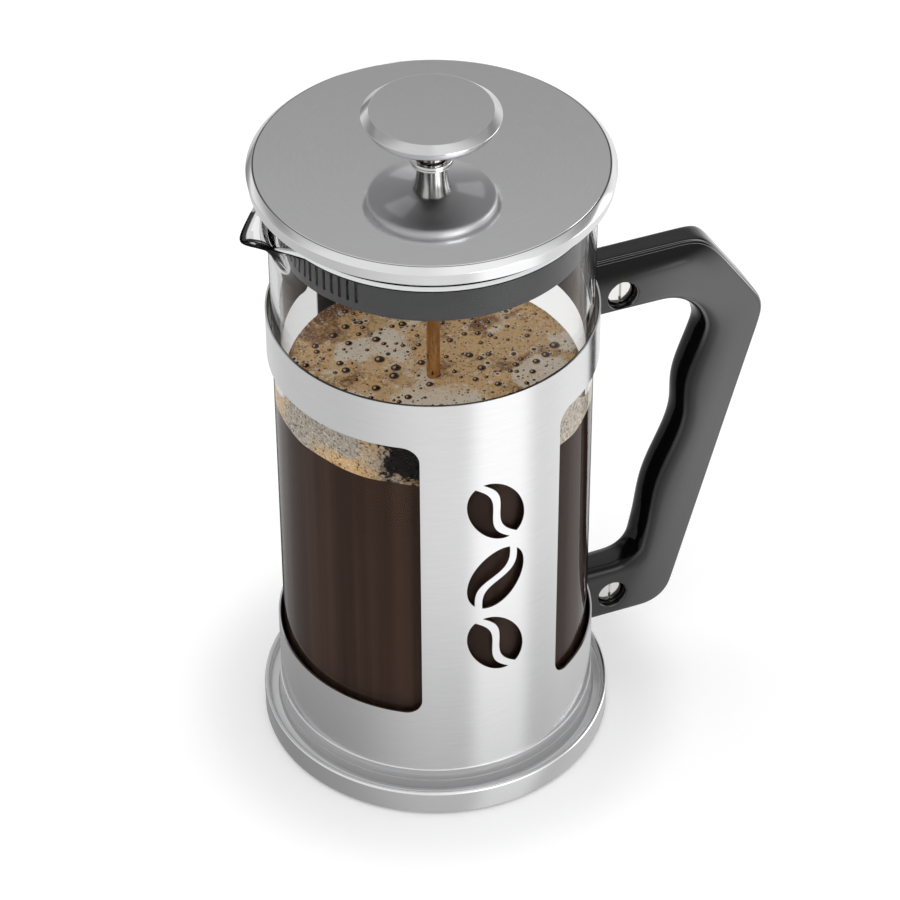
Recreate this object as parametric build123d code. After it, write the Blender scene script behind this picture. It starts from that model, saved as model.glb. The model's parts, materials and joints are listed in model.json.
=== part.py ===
from build123d import *
import os
from math import cos, degrees, radians, sin

# French press: a glass beaker in a pierced steel frame, with a side handle,
# a steel lid and a plunger that carries the filter.
# Millimetres. The origin is on the beaker's axis at the table, +Z is up,
# the handle is on +X, the spout on -X and the front panel faces -Y.

# Clearances
joint_gap = 0.3
running_gap = 0.1
pocket_gap = 0.15
beaker_gap = 0.9
filter_gap = 0.4
collar_gap = 0.6
cut_margin = 5.0

# Base
pad_proud = 0.8
pad_gap = 0.2
dish_width = 3.8
base_sheet = 1.2
base_height = 8.2
lip_width = 1.7
lip_rounding = 1.1
dish_depth = 3.0
floor_overhang = 0.7
low_collar_height = 4.2
low_collar_wall = 0.6
high_collar_height = 8.2
high_collar_wall = 0.35
rivet_count = 3
rivet_radius = 1.5
rivet_head_radius = 2.6
rivet_head = 0.8

# Frame sleeve
sleeve_sheet = 0.8
sleeve_height = 155.0
hem_width = 6.5
top_band = 16.0
bottom_band = 32.5
window_corner = 5.5
panel_width = 46.3

# Pierced beans on the panels
bean_count = 3
bean_pitch = 26.5
bean_length = 24.0
bean_width = 16.5
bean_tilt = 28.0
crease_width = 2.6
crease_swing = 2.2

# Soft seat under the beaker
seat_height = 6.0
seat_hole_radius = 20.0

# Beaker
glass_radius = 48.5
glass_wall = 2.3
glass_floor = 3.0
glass_height = 191.7
foot_rounding = 6.0
rim_stand_out = 0.5
rim_height = 2.4
spout_reach = 12.1
spout_drop = 4.5
spout_depth = 23.0
spout_half_angle = 21.0
spout_tip_radius = 4.0
spout_wall = 2.4
spout_root_share = 0.04

# Lid
lid_overhang = 5.55
bead_width = 1.85
lid_sheet = 0.8
lid_height = 8.6
bead_drop = 1.8
skirt_height = 5.6
skirt_taper = 0.55
flange_gap = 3.3
flange_thickness = 1.8
collar_wall = 2.0
collar_depth = 15.4
web_thickness = 2.4
slot_count = 24
slot_angle = 3.5
slot_width = 1.0
slot_height = 8.0
slot_rise = 2.9

# Bush in the lid
bush_radius = 3.75
bush_flange_radius = 6.25
bush_flange = 0.8
bush_recess_radius = 3.95
bush_recess = 0.5
bush_tail = 6.0
washer_radius = 7.0
washer_thickness = 1.0
bush_nut_flats = 11.0
bush_nut_height = 4.0

# Plunger rod and knob
rod_radius = 2.1
rod_seat = 4.0
neck_height = 9.0
neck_foot_radius = 4.5
neck_top_radius = 5.6
neck_straight = 5.0
knob_radius = 20.55
knob_flat_radius = 18.1
knob_base_radius = 19.2
knob_base_height = 4.4
knob_base_drop = 2.2
knob_base_rounding = 0.9
knob_cap_height = 2.8
knob_cap_sheet = 0.7
knob_edge = 0.4
knob_edge_drop = 1.8
knob_base_sheet = 0.8
insert_radius = 5.0

# Filter
filter_floor_gap = 0.7
hub_nut_flats = 10.0
hub_nut_height = 2.4
cross_plate_inset = 5.8
cross_plate_thickness = 1.0
cross_hub_radius = 9.0
cross_rim_width = 4.0
spoke_count = 6
spoke_width = 6.0
mesh_thickness = 0.4
mesh_edge_height = 5.0
spiral_plate_thickness = 0.8
spiral_hole_radius = 2.0
spiral_row_count = 3
spiral_hole_step = 9.0
spiral_first_row = 14.0
first_row_count = 8
spring_radius = 1.9
spring_edge_gap = 0.15
filter_hub_radius = 5.0
filter_hub_height = 6.0

# Handle
handle_above_sleeve = 2.5
handle_above_dish = 14.0
handle_thickness = 14.0
shoulder_reach = 37.8
elbow_reach = 58.6
elbow_drop = 29.4
heel_reach = 28.2
shoulder_rounding = 8.0
elbow_rounding = 10.0
heel_rounding = 10.0
upper_arm_depth = 19.0
lower_arm_depth = 20.0
grip_depth = 17.2
upper_bump = 4.0
lower_bump = 2.5
bay_depth = 2.7
hollow_rise = 3.9
upper_bay_rounding = 16.0
lower_bay_rounding = 8.5
edge_rounding = 3.5
strip_width = 6.8
strip_height = 1.0
cove_radius = 9.0
cove_neck = 8.5
cove_drop = 2.5
cove_run = 26.0

# Handle lugs and screws
lug_thickness = 3.0
lug_half_height = 4.5
lug_foot = 0.8
lug_foot_width = 10.0
screw_reach = 9.2
upper_screw_drop = 12.9
lower_screw_rise = 8.6
screw_head_radius = 4.3
screw_head = 1.8
screw_radius = 2.0
screw_slot_width = 0.9
screw_slot_depth = 0.8
screw_recess = 2.5
counterbore_radius = 4.75
barrel_radius = 2.9

# Heights and radii that follow from the sizes above
lip_top = pad_proud + base_height
dish_floor = lip_top - dish_depth
dish_underside = dish_floor - base_sheet
sleeve_inner = glass_radius + beaker_gap
sleeve_outer = sleeve_inner + sleeve_sheet
sleeve_top = dish_floor + sleeve_height
window_bottom = dish_floor + bottom_band
window_top = sleeve_top - top_band
hem_top = dish_floor + sleeve_sheet
hem_inner = sleeve_outer - hem_width
base_radius = sleeve_outer + dish_width + lip_width
base_hole_radius = hem_inner - floor_overhang
rivet_circle = sleeve_inner - pad_gap - rivet_head_radius
seat_top = hem_top + seat_height - sleeve_sheet
glass_foot = seat_top + joint_gap
glass_inner = glass_radius - glass_wall
glass_floor_top = glass_foot + glass_floor
rim_top = glass_foot + glass_height
spout_tip = glass_radius + spout_reach
flange_bottom = rim_top + joint_gap
flange_top = flange_bottom + flange_thickness
lid_radius = glass_radius + lid_overhang
lid_flat_radius = lid_radius - bead_width
flange_radius = lid_radius - skirt_taper - lid_sheet - flange_gap
lid_top = rim_top + lid_height
lid_underside = lid_top - lid_sheet
web_bottom = lid_underside - web_thickness
collar_outer = glass_inner - collar_gap
collar_inner = collar_outer - collar_wall
collar_bottom = rim_top - collar_depth
bush_hole = bush_radius + running_gap
bush_flange_bottom = lid_top + running_gap
bush_top = bush_flange_bottom + bush_flange
washer_top = web_bottom - running_gap
bush_nut_top = washer_top - washer_thickness
neck_bottom = bush_top + joint_gap
knob_bottom = neck_bottom + neck_height
knob_seam = knob_bottom + knob_base_height
knob_top = knob_seam + knob_cap_height
insert_top = knob_top - knob_cap_sheet
hub_nut_bottom = glass_floor_top + filter_floor_gap
cross_bottom = hub_nut_bottom + hub_nut_height
mesh_bottom = cross_bottom + cross_plate_thickness
spiral_bottom = mesh_bottom + mesh_thickness
spiral_top = spiral_bottom + spiral_plate_thickness
mesh_outer = glass_inner - filter_gap
mesh_inner = mesh_outer - mesh_thickness
cross_plate_radius = mesh_outer - cross_plate_inset
spring_circle = mesh_inner - spring_edge_gap - spring_radius
spring_middle = spiral_top + spring_radius
spiral_plate_radius = mesh_inner - spring_edge_gap
handle_top = sleeve_top + handle_above_sleeve
handle_bottom = dish_floor + handle_above_dish
elbow_height = handle_top - elbow_drop
handle_half = handle_thickness / 2
panel_half_angle = degrees(panel_width / 2 / sleeve_outer)
window_half_angle = 90 - panel_half_angle
screw_x = sleeve_outer + screw_reach
screw_heights = (handle_top - upper_screw_drop, handle_bottom + lower_screw_rise)
screw_seat = handle_half - screw_recess - screw_head


def outline(points, rounds=()):
    """Flat face through the points, with (corner, radius) pairs rounded."""
    face = make_face(Polyline(*points, close=True))
    for corner, radius in rounds:
        nearest = face.vertices().sort_by_distance(Vector(*corner))[0]
        face = fillet(nearest, radius)
    return face


def turned(points, rounds=()):
    """Solid turned about the press's axis from (radius, height) points."""
    return revolve(Plane.XZ * outline(points, rounds), Axis.Z)


def disc(radius, bottom, top):
    """Round bar on the press's axis between two heights."""
    return Pos(0, 0, (bottom + top) / 2) * Cylinder(radius, top - bottom)


def ring(inner, outer, bottom, top):
    """Plain ring on the press's axis between two heights."""
    return disc(outer, bottom, top) - disc(inner, bottom - cut_margin, top + cut_margin)


def block(x_span, y_span, z_span):
    """Box between pairs of coordinates."""
    size = [high - low for low, high in (x_span, y_span, z_span)]
    middle = [(high + low) / 2 for low, high in (x_span, y_span, z_span)]
    return Pos(*middle) * Box(*size)


def hexagon(flats, bore, bottom, top):
    """Hexagon nut on the press's axis."""
    prism = extrude(RegularPolygon(flats / 2, 6, major_radius=False), top - bottom)
    return Pos(0, 0, bottom) * prism - disc(bore, bottom - cut_margin, top + cut_margin)


def round_the_axis(shape, count):
    """Copies of a shape spaced evenly round the press's axis."""
    return [Rot(0, 0, 360 * turn / count) * shape for turn in range(count)]


def across(radius, x, z, low, high):
    """Round bar across the handle, along Y between two places."""
    bar = Rot(90, 0, 0) * Cylinder(radius, high - low)
    return Pos(x, (low + high) / 2, z) * bar


# Base


def rivet_holes(bottom, top, radius):
    bar = Pos(rivet_circle, 0, 0) * disc(radius, bottom, top)
    return round_the_axis(bar, rivet_count)


def make_base_pad():
    pad = disc(base_radius - base_sheet - pad_gap, 0, dish_underside)
    heads = rivet_holes(dish_underside - rivet_head - pad_gap, dish_underside, rivet_head_radius + pad_gap)
    return pad - heads


def make_base_ring():
    lip_inner = base_radius - lip_width
    skin = base_radius - base_sheet
    profile = [
        (base_hole_radius, dish_underside),
        (skin, dish_underside),
        (skin, pad_proud),
        (base_radius, pad_proud),
        (base_radius, lip_top),
        (lip_inner, lip_top),
        (lip_inner, dish_floor),
        (sleeve_outer + low_collar_wall, dish_floor),
        (sleeve_outer + low_collar_wall, dish_floor + low_collar_height),
        (sleeve_outer + high_collar_wall, dish_floor + low_collar_height),
        (sleeve_outer + high_collar_wall, dish_floor + high_collar_height),
        (sleeve_outer, dish_floor + high_collar_height),
        (sleeve_outer, dish_floor),
        (base_hole_radius, dish_floor),
    ]
    rounds = [((base_radius, lip_top), lip_rounding)]
    holes = rivet_holes(dish_underside - cut_margin, dish_floor + cut_margin, rivet_radius)
    return turned(profile, rounds) - holes


def make_base_rivets():
    low_head = disc(rivet_head_radius, dish_underside - rivet_head, dish_underside)
    shank = disc(rivet_radius, dish_underside, hem_top)
    high_head = disc(rivet_head_radius, hem_top, hem_top + rivet_head)
    rivet = Pos(rivet_circle, 0, 0) * (low_head + shank + high_head)
    return Compound(round_the_axis(rivet, rivet_count))


def make_glass_seat():
    seat = ring(seat_hole_radius, sleeve_inner - running_gap, hem_top, seat_top)
    heads = rivet_holes(hem_top, hem_top + rivet_head + pad_gap, rivet_head_radius + pad_gap)
    return seat - heads


# Frame sleeve


def window_cutter():
    """Sector between the panels, with its corners rounded."""
    reach = (sleeve_inner - cut_margin, sleeve_outer + cut_margin)
    low, high = window_bottom, window_top
    section = [(reach[0], low), (reach[1], low), (reach[1], high), (reach[0], high)]
    sector = revolve(Plane.XZ * outline(section), Axis.Z, 2 * window_half_angle)
    sector = Rot(0, 0, -window_half_angle) * sector
    radial = sector.edges().filter_by(GeomType.LINE).filter_by(Axis.Z, reverse=True)
    return fillet(radial, window_corner)


def bean_halves():
    """One bean outline, split lengthways by a waved crease."""
    half = bean_length / 2
    end = half + crease_width
    wave = [(0, end), (crease_swing, half / 2), (0, 0), (-crease_swing, -half / 2), (0, -end)]
    left = [(x - crease_width / 2, y) for x, y in wave]
    right = [(x + crease_width / 2, y) for x, y in wave]
    sides = [Spline(*left), Spline(*right)]
    ends = [Line(left[0], right[0]), Line(left[-1], right[-1])]
    return Ellipse(bean_width / 2, half) - make_face(sides + ends)


def bean_cutters():
    """Column of beans, leaning to either side in turn, pierced along Y."""
    middle = (window_bottom + window_top) / 2
    cutters = []
    for place in range(bean_count):
        height = middle + (place - (bean_count - 1) / 2) * bean_pitch
        lean = bean_tilt * (-1) ** place
        flat = Plane.XZ * (Pos(0, height) * Rot(0, 0, lean) * bean_halves())
        cutters += extrude(flat, sleeve_outer + cut_margin, both=True).solids()
    return cutters


def make_frame_sleeve():
    profile = [
        (hem_inner, dish_floor),
        (sleeve_outer, dish_floor),
        (sleeve_outer, sleeve_top),
        (sleeve_inner, sleeve_top),
        (sleeve_inner, hem_top),
        (hem_inner, hem_top),
    ]
    sleeve = turned(profile)
    window = window_cutter()
    sleeve = sleeve - window - Rot(0, 0, 180) * window
    holes = rivet_holes(dish_floor - cut_margin, hem_top + cut_margin, rivet_radius)
    return sleeve - holes - bean_cutters()


# Handle, its lugs and its screws


def long_edge(height):
    """Distance of the handle's outer long edge from the sleeve at a height."""
    slope = (elbow_reach - heel_reach) / (elbow_height - handle_bottom)
    return sleeve_outer + elbow_reach + slope * (height - elbow_height)


def handle_profile():
    outer = FilletPolyline(
        (0, handle_top),
        (sleeve_outer + shoulder_reach, handle_top),
        (sleeve_outer + elbow_reach, elbow_height),
        (sleeve_outer + heel_reach, handle_bottom),
        (0, handle_bottom),
        radius=[shoulder_rounding, elbow_rounding, heel_rounding],
    )
    ceiling = handle_top - upper_arm_depth
    floor = handle_bottom + lower_arm_depth
    bay_top = ceiling - upper_bay_rounding
    bay_bottom = floor + lower_bay_rounding
    hollow_height = (bay_top + bay_bottom) / 2 + hollow_rise
    bump_high = (hollow_height + bay_top) / 2
    bump_low = (hollow_height + bay_bottom) / 2
    high_end = (long_edge(bay_top) - grip_depth - bay_depth, bay_top)
    low_end = (long_edge(bay_bottom) - grip_depth, bay_bottom)
    ceiling_end = (high_end[0] - upper_bay_rounding, ceiling)
    floor_end = (low_end[0] - lower_bay_rounding, floor)
    finger_side = Spline(
        high_end,
        (long_edge(bump_high) - grip_depth - upper_bump, bump_high),
        (long_edge(hollow_height) - grip_depth, hollow_height),
        (long_edge(bump_low) - grip_depth - lower_bump, bump_low),
        low_end,
        tangents=[(0, -1), (0, -1)],
    )
    return make_face(
        [
            outer,
            Line((0, handle_bottom), (0, floor)),
            Line((0, floor), floor_end),
            TangentArc(floor_end, low_end, tangent=(1, 0)),
            finger_side,
            TangentArc(ceiling_end, high_end, tangent=(1, 0)),
            Line(ceiling_end, (0, ceiling)),
            Line((0, ceiling), (0, handle_top)),
        ]
    )


def cove(side):
    """Hollow run beside the handle's top strip, closed by a round end."""
    middle = side * (cove_neck / 2 + cove_radius)
    height = handle_top - cove_drop
    end = sleeve_outer + cove_run
    bar = Pos(end / 2, middle, height) * Rot(0, 90, 0) * Cylinder(cove_radius, end)
    return bar + Pos(end, middle, height) * Sphere(cove_radius)


def strip_step(side):
    """Small step beside the handle's top strip."""
    width = sorted((side * strip_width / 2, side * (handle_half + cut_margin)))
    end = sleeve_outer + cove_run + cove_radius / 2
    return block((0, end), width, (handle_top - strip_height, handle_top + cut_margin))


def lug_solid(height, gap=0.0):
    """Ear with a curved foot, grown by a gap for its pocket in the handle."""
    half = lug_half_height + gap
    thick = lug_thickness / 2 + gap
    ear = block((0, screw_x), (-thick, thick), (height - half, height + half))
    ear += across(half, screw_x, height, -thick, thick)
    foot = ring(sleeve_outer, sleeve_outer + lug_foot + gap, height - half, height + half)
    wide = lug_foot_width / 2 + gap
    foot &= block((0, screw_x), (-wide, wide), (height - half, height + half))
    return ear + foot - disc(sleeve_outer, 0, rim_top)


def make_lug(height):
    return lug_solid(height) - across(barrel_radius + pocket_gap, screw_x, height, -handle_half, handle_half)


def make_handle():
    grip = extrude(Plane.XZ * handle_profile(), handle_half, both=True)
    flat_sides = grip.faces().filter_by(Axis.Y)
    rims = [edge for side in flat_sides for edge in side.edges() if edge.center().X > sleeve_inner / 2]
    grip = fillet(rims, edge_rounding)
    for side in (-1, 1):
        grip -= cove(side)
        grip -= strip_step(side)
    for height in screw_heights:
        grip -= lug_solid(height, pocket_gap)
        grip -= across(barrel_radius + pocket_gap, screw_x, height, -handle_thickness, handle_thickness)
        for low, high in ((-handle_thickness, -screw_seat), (screw_seat, handle_thickness)):
            grip -= across(counterbore_radius, screw_x, height, low, high)
    return grip - disc(sleeve_outer + running_gap, 0, rim_top)


def slotted_head(height, side):
    """Cheese head that sits in one of the handle's counterbores."""
    face = side * (screw_seat + screw_head)
    low, high = sorted((side * screw_seat, face))
    head = across(screw_head_radius, screw_x, height, low, high)
    bottom = face - side * screw_slot_depth
    slot_y = sorted((bottom, face + side * cut_margin))
    wide = screw_slot_width / 2
    reach = screw_head_radius + cut_margin
    slot = block((screw_x - wide, screw_x + wide), slot_y, (height - reach, height + reach))
    return head - slot


def make_handle_screws():
    screws = []
    for height in screw_heights:
        shank = across(screw_radius, screw_x, height, -screw_seat, screw_seat - screw_slot_depth)
        screws.append(slotted_head(height, -1) + shank)
    return Compound(screws)


def make_handle_barrel_nuts():
    nuts = []
    for height in screw_heights:
        barrel = across(barrel_radius, screw_x, height, -screw_seat + screw_slot_depth, screw_seat)
        bore = across(screw_radius, screw_x, height, -handle_thickness, screw_seat - screw_slot_depth)
        nuts.append(slotted_head(height, 1) + barrel - bore)
    return Compound(nuts)


# Beaker


def spout_cone():
    """V-shaped cone of the spout, wide at the rim and a point at its root."""
    rise = spout_depth / (spout_depth - spout_drop)
    tip = spout_tip - glass_radius
    side_x = glass_radius * (1 - cos(radians(spout_half_angle)))
    side_y = glass_radius * sin(radians(spout_half_angle))
    back = glass_radius / 2
    wide = [(-tip * rise, 0), (side_x, side_y), (back, side_y), (back, -side_y), (side_x, -side_y)]
    mouth = outline(wide, [(wide[0], spout_tip_radius)])
    root = scale(mouth, spout_root_share)
    root_height = rim_top - spout_depth * (1 - spout_root_share)
    sections = [Pos(-glass_radius, 0, root_height) * root, Pos(-glass_radius, 0, rim_top) * mouth]
    return loft(sections, ruled=True)


def make_glass_beaker():
    bead = glass_radius + rim_stand_out
    body = disc(glass_radius, glass_foot, rim_top)
    foot = body.edges().filter_by(GeomType.CIRCLE).sort_by(Axis.Z)[0]
    body = fillet(foot, foot_rounding)
    body += disc(bead, rim_top - rim_height, rim_top)
    cone = spout_cone()
    hollow = disc(glass_inner, glass_floor_top, rim_top + cut_margin)
    well = hollow.edges().filter_by(GeomType.CIRCLE).sort_by(Axis.Z)[0]
    hollow = fillet(well, foot_rounding - glass_wall)
    beaker = body + cone - hollow - Pos(spout_wall, 0, 0) * cone
    start = glass_radius * cos(radians(spout_half_angle))
    slope = spout_drop / (spout_tip - start)
    far = spout_tip + cut_margin
    wedge = [
        (-start, rim_top),
        (-far, rim_top - slope * (far - start)),
        (-far, rim_top + cut_margin),
        (-start, rim_top + cut_margin),
    ]
    return beaker - extrude(Plane.XZ * outline(wedge), glass_radius, both=True)


# Lid and the bush in it


def make_lid_cover():
    skirt_bottom = lid_top - skirt_height
    inner = lid_sheet
    profile = [
        (bush_hole, lid_top),
        (lid_flat_radius, lid_top),
        (lid_radius, lid_top - bead_drop),
        (lid_radius - skirt_taper, skirt_bottom),
        (lid_radius - skirt_taper - inner, skirt_bottom),
        (lid_radius - inner, lid_top - bead_drop),
        (lid_flat_radius - inner / 2, lid_underside),
        (bush_hole, lid_underside),
    ]
    return turned(profile, [((lid_radius, lid_top - bead_drop), bead_drop / 2)])


def strainer_slots():
    """Upright slots in the collar, centred on the spout."""
    bottom = collar_bottom + slot_rise
    reach = (-collar_outer - cut_margin, -collar_inner + collar_wall / 2)
    bar = block(reach, (-slot_width / 2, slot_width / 2), (bottom, bottom + slot_height))
    first = -slot_angle * (slot_count - 1) / 2
    return [Rot(0, 0, first + slot_angle * place) * bar for place in range(slot_count)]


def make_lid_collar():
    profile = [
        (bush_hole, lid_underside),
        (collar_outer, lid_underside),
        (collar_outer, flange_top),
        (flange_radius, flange_top),
        (flange_radius, flange_bottom),
        (collar_outer, flange_bottom),
        (collar_outer, collar_bottom),
        (collar_inner, collar_bottom),
        (collar_inner, web_bottom),
        (bush_hole, web_bottom),
    ]
    return turned(profile) - strainer_slots()


def make_guide_bush():
    bore = rod_radius + running_gap
    bottom = bush_nut_top - bush_tail
    profile = [
        (bore, bottom),
        (bush_radius, bottom),
        (bush_radius, bush_flange_bottom),
        (bush_flange_radius, bush_flange_bottom),
        (bush_flange_radius, bush_top),
        (bush_recess_radius, bush_top),
        (bush_recess_radius, bush_top - bush_recess),
        (bore, bush_top - bush_recess),
    ]
    return turned(profile)


def make_bush_washer():
    return ring(bush_radius, washer_radius, bush_nut_top, washer_top)


def make_bush_nut():
    return hexagon(bush_nut_flats, bush_radius, bush_nut_top - bush_nut_height, bush_nut_top)


# Plunger: knob, rod and filter


def make_plunger_rod():
    return disc(rod_radius, hub_nut_bottom, knob_bottom + rod_seat)


def make_knob_neck():
    profile = [
        (rod_radius, neck_bottom),
        (neck_foot_radius, neck_bottom),
        (neck_foot_radius, neck_bottom + neck_straight),
        (neck_top_radius, knob_bottom),
        (rod_radius, knob_bottom),
    ]
    return turned(profile, [((neck_foot_radius, neck_bottom + neck_straight), neck_straight)])


def make_knob_base():
    foot = max(neck_top_radius, insert_radius)
    corner = knob_bottom + knob_base_drop
    inner = knob_base_radius - knob_base_sheet
    profile = [
        (rod_radius, knob_bottom),
        (foot, knob_bottom),
        (knob_base_radius, corner),
        (knob_base_radius, knob_seam),
        (inner, knob_seam),
        (inner, corner + knob_base_sheet),
        (foot, knob_bottom + knob_base_sheet),
        (rod_radius, knob_bottom + knob_base_sheet),
    ]
    return turned(profile, [((knob_base_radius, corner), knob_base_rounding)])


def make_knob_insert():
    solid = disc(insert_radius, knob_bottom + knob_base_sheet, insert_top)
    return solid - disc(rod_radius, 0, knob_bottom + rod_seat)


def make_knob_cap():
    edge_top = knob_top - knob_edge_drop
    inner = knob_base_radius - knob_base_sheet
    profile = [
        (0, knob_top),
        (knob_flat_radius, knob_top),
        (knob_radius, edge_top),
        (knob_radius, edge_top - knob_edge),
        (knob_base_radius, knob_seam),
        (inner, knob_seam),
        (inner, insert_top),
        (0, insert_top),
    ]
    return turned(profile)


def make_filter_hub():
    return ring(rod_radius, filter_hub_radius, spiral_top, spiral_top + filter_hub_height)


def make_spiral_plate():
    plate = ring(rod_radius, spiral_plate_radius, spiral_bottom, spiral_top)
    holes = []
    for row in range(spiral_row_count):
        reach = spiral_first_row + row * spiral_hole_step
        hole = Pos(reach, 0, 0) * disc(spiral_hole_radius, spiral_bottom - cut_margin, spiral_top + cut_margin)
        holes += round_the_axis(hole, first_row_count * (row + 1))
    return plate - holes


def make_edge_spring():
    return Pos(0, 0, spring_middle) * Torus(spring_circle, spring_radius)


def make_mesh_filter():
    profile = [
        (rod_radius, mesh_bottom),
        (mesh_outer, mesh_bottom),
        (mesh_outer, mesh_bottom + mesh_edge_height),
        (mesh_inner, mesh_bottom + mesh_edge_height),
        (mesh_inner, spiral_bottom),
        (rod_radius, spiral_bottom),
    ]
    return turned(profile)


def make_cross_plate():
    hub = disc(cross_hub_radius, cross_bottom, mesh_bottom)
    rim = ring(cross_plate_radius - cross_rim_width, cross_plate_radius, cross_bottom, mesh_bottom)
    half = spoke_width / 2
    spoke = block((0, cross_plate_radius - cross_rim_width / 2), (-half, half), (cross_bottom, mesh_bottom))
    plate = hub + rim + round_the_axis(spoke, spoke_count)
    return plate - disc(rod_radius, 0, rim_top)


def make_hub_nut():
    return hexagon(hub_nut_flats, rod_radius, hub_nut_bottom, cross_bottom)


pieces = {
    "base_pad": make_base_pad(),
    "base_ring": make_base_ring(),
    "base_rivets": make_base_rivets(),
    "glass_seat": make_glass_seat(),
    "frame_sleeve": make_frame_sleeve(),
    "upper_lug": make_lug(screw_heights[0]),
    "lower_lug": make_lug(screw_heights[1]),
    "handle": make_handle(),
    "handle_screws": make_handle_screws(),
    "handle_barrel_nuts": make_handle_barrel_nuts(),
    "glass_beaker": make_glass_beaker(),
    "guide_bush": make_guide_bush(),
    "bush_washer": make_bush_washer(),
    "bush_nut": make_bush_nut(),
    "lid_cover": make_lid_cover(),
    "lid_collar": make_lid_collar(),
    "plunger_rod": make_plunger_rod(),
    "knob_neck": make_knob_neck(),
    "knob_base": make_knob_base(),
    "knob_insert": make_knob_insert(),
    "knob_cap": make_knob_cap(),
    "filter_hub": make_filter_hub(),
    "spiral_plate": make_spiral_plate(),
    "edge_spring": make_edge_spring(),
    "mesh_filter": make_mesh_filter(),
    "cross_plate": make_cross_plate(),
    "hub_nut": make_hub_nut(),
}

os.makedirs("parts", exist_ok=True)
for name, piece in pieces.items():
    export_step(piece, os.path.join("parts", name + ".step"))
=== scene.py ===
import json
import math
import random

import bmesh
import bpy
from bpy.props import BoolProperty, FloatProperty, FloatVectorProperty, IntProperty, PointerProperty
from mathutils import Matrix, Quaternion, Vector, noise


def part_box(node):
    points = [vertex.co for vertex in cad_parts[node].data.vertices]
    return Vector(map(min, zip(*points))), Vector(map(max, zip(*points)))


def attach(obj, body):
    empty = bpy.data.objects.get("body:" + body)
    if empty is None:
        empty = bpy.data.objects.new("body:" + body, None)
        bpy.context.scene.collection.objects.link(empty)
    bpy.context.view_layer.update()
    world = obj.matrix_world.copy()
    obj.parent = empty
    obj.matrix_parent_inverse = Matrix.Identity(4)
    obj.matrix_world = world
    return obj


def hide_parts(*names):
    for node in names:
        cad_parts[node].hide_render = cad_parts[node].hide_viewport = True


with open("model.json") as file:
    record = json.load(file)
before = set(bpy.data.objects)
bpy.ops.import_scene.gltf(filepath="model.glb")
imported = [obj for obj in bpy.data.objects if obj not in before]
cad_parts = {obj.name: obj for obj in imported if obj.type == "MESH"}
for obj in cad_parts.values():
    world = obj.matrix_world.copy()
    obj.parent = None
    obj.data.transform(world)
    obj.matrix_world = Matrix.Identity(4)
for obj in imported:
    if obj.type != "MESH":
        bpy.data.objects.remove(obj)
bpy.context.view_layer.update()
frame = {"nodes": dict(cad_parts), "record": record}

bl_info = {
    "name": "Coffee press",
    "version": (1, 0, 0),
    "blender": (4, 5, 0),
    "location": "View3D > Sidebar > Press",
    "description": "Models the pieces of a glass coffee press, their finishes and a small studio",
    "category": "Object",
}

MM = 0.001
RECORD = frame["record"]
BODY_OF = {node: body for body, nodes in RECORD["behaviour"]["bodies"].items() for node in nodes}

# Modelling limits shared by the pieces
TOUCH = 0.001 * MM
FINE_TURN = 360
MIDDLE_TURN = FINE_TURN // 2
SMALL_TURN = 96
ROUND_CUTS = 5
SHARP = math.radians(38)
SHARP_MOULDING = math.radians(50)
CUT_EDGE = math.radians(60)
NEARLY = 0.98
FULL_TURN = 2 * math.pi
NOISE_MIDDLE = 0.5


# Settings


def length(name, description, millimetres):
    """A size in the press's own millimetres."""
    return FloatProperty(
        name=name, description=description, default=millimetres * MM, unit="LENGTH", precision=5
    )


def angle(name, description, degrees):
    return FloatProperty(
        name=name, description=description, default=math.radians(degrees), subtype="ANGLE"
    )


def share(name, description, value):
    return FloatProperty(name=name, description=description, default=value, min=0, max=1, subtype="FACTOR")


def linear(level):
    """Light of a screen level from 0 to 255."""
    level /= 255
    return level / 12.92 if level <= 0.04045 else ((level + 0.055) / 1.055) ** 2.4


def tint(name, description, *levels):
    """A colour, given as screen levels of red, green and blue."""
    return FloatVectorProperty(
        name=name,
        description=description,
        default=[linear(level) for level in levels],
        size=3,
        min=0,
        max=1,
        subtype="COLOR",
    )


class PressBase(bpy.types.PropertyGroup):
    sheet: length("Sheet", "Thickness of the base's sheet", 1.2)
    height: length("Height", "Height of the rolled lip over the underside", 8.2)
    lip_width: length("Lip width", "Width of the rolled lip", 1.7)
    dish_depth: length("Dish depth", "Depth of the dish inside the lip", 3.0)
    low_collar_height: length("Low collar", "Height of the thicker collar over the dish", 4.2)
    low_collar_wall: length("Low collar wall", "Stand-out of the thicker collar", 0.6)
    high_collar_wall: length("High collar wall", "Stand-out of the thinner collar", 0.35)
    hole_radius: length("Hole radius", "Radius of the hole in the dish", 43.0)


class PressSleeve(bpy.types.PropertyGroup):
    sheet: length("Sheet", "Thickness of the sleeve's sheet", 0.8)
    hem_width: length("Hem", "Width of the hem turned in at the foot", 6.5)
    bottom_band: length("Bottom band", "Height of the sleeve under its windows", 32.5)
    top_band: length("Top band", "Height of the sleeve over its windows", 16.0)
    window_corner: length("Window corner", "Rounding of the windows' corners", 5.5)
    panel_width: length("Panel width", "Width of the panels between the windows, along the sheet", 46.3)
    edge_break: length("Edge break", "Rounding of the sheet's cut edges", 0.14)
    bean_count: IntProperty(name="Beans", description="Beans pierced in a panel", default=3, min=1)
    bean_pitch: length("Bean pitch", "Distance from one bean to the next", 26.5)
    bean_length: length("Bean length", "Length of a bean", 24.0)
    bean_width: length("Bean width", "Width of a bean", 16.5)
    bean_tilt: angle("Bean tilt", "Lean of the beans, to either side in turn", 28)
    crease_width: length("Crease width", "Width of the bridge along a bean", 2.6)
    crease_swing: length("Crease swing", "Sideways swing of that bridge", 2.2)


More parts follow.
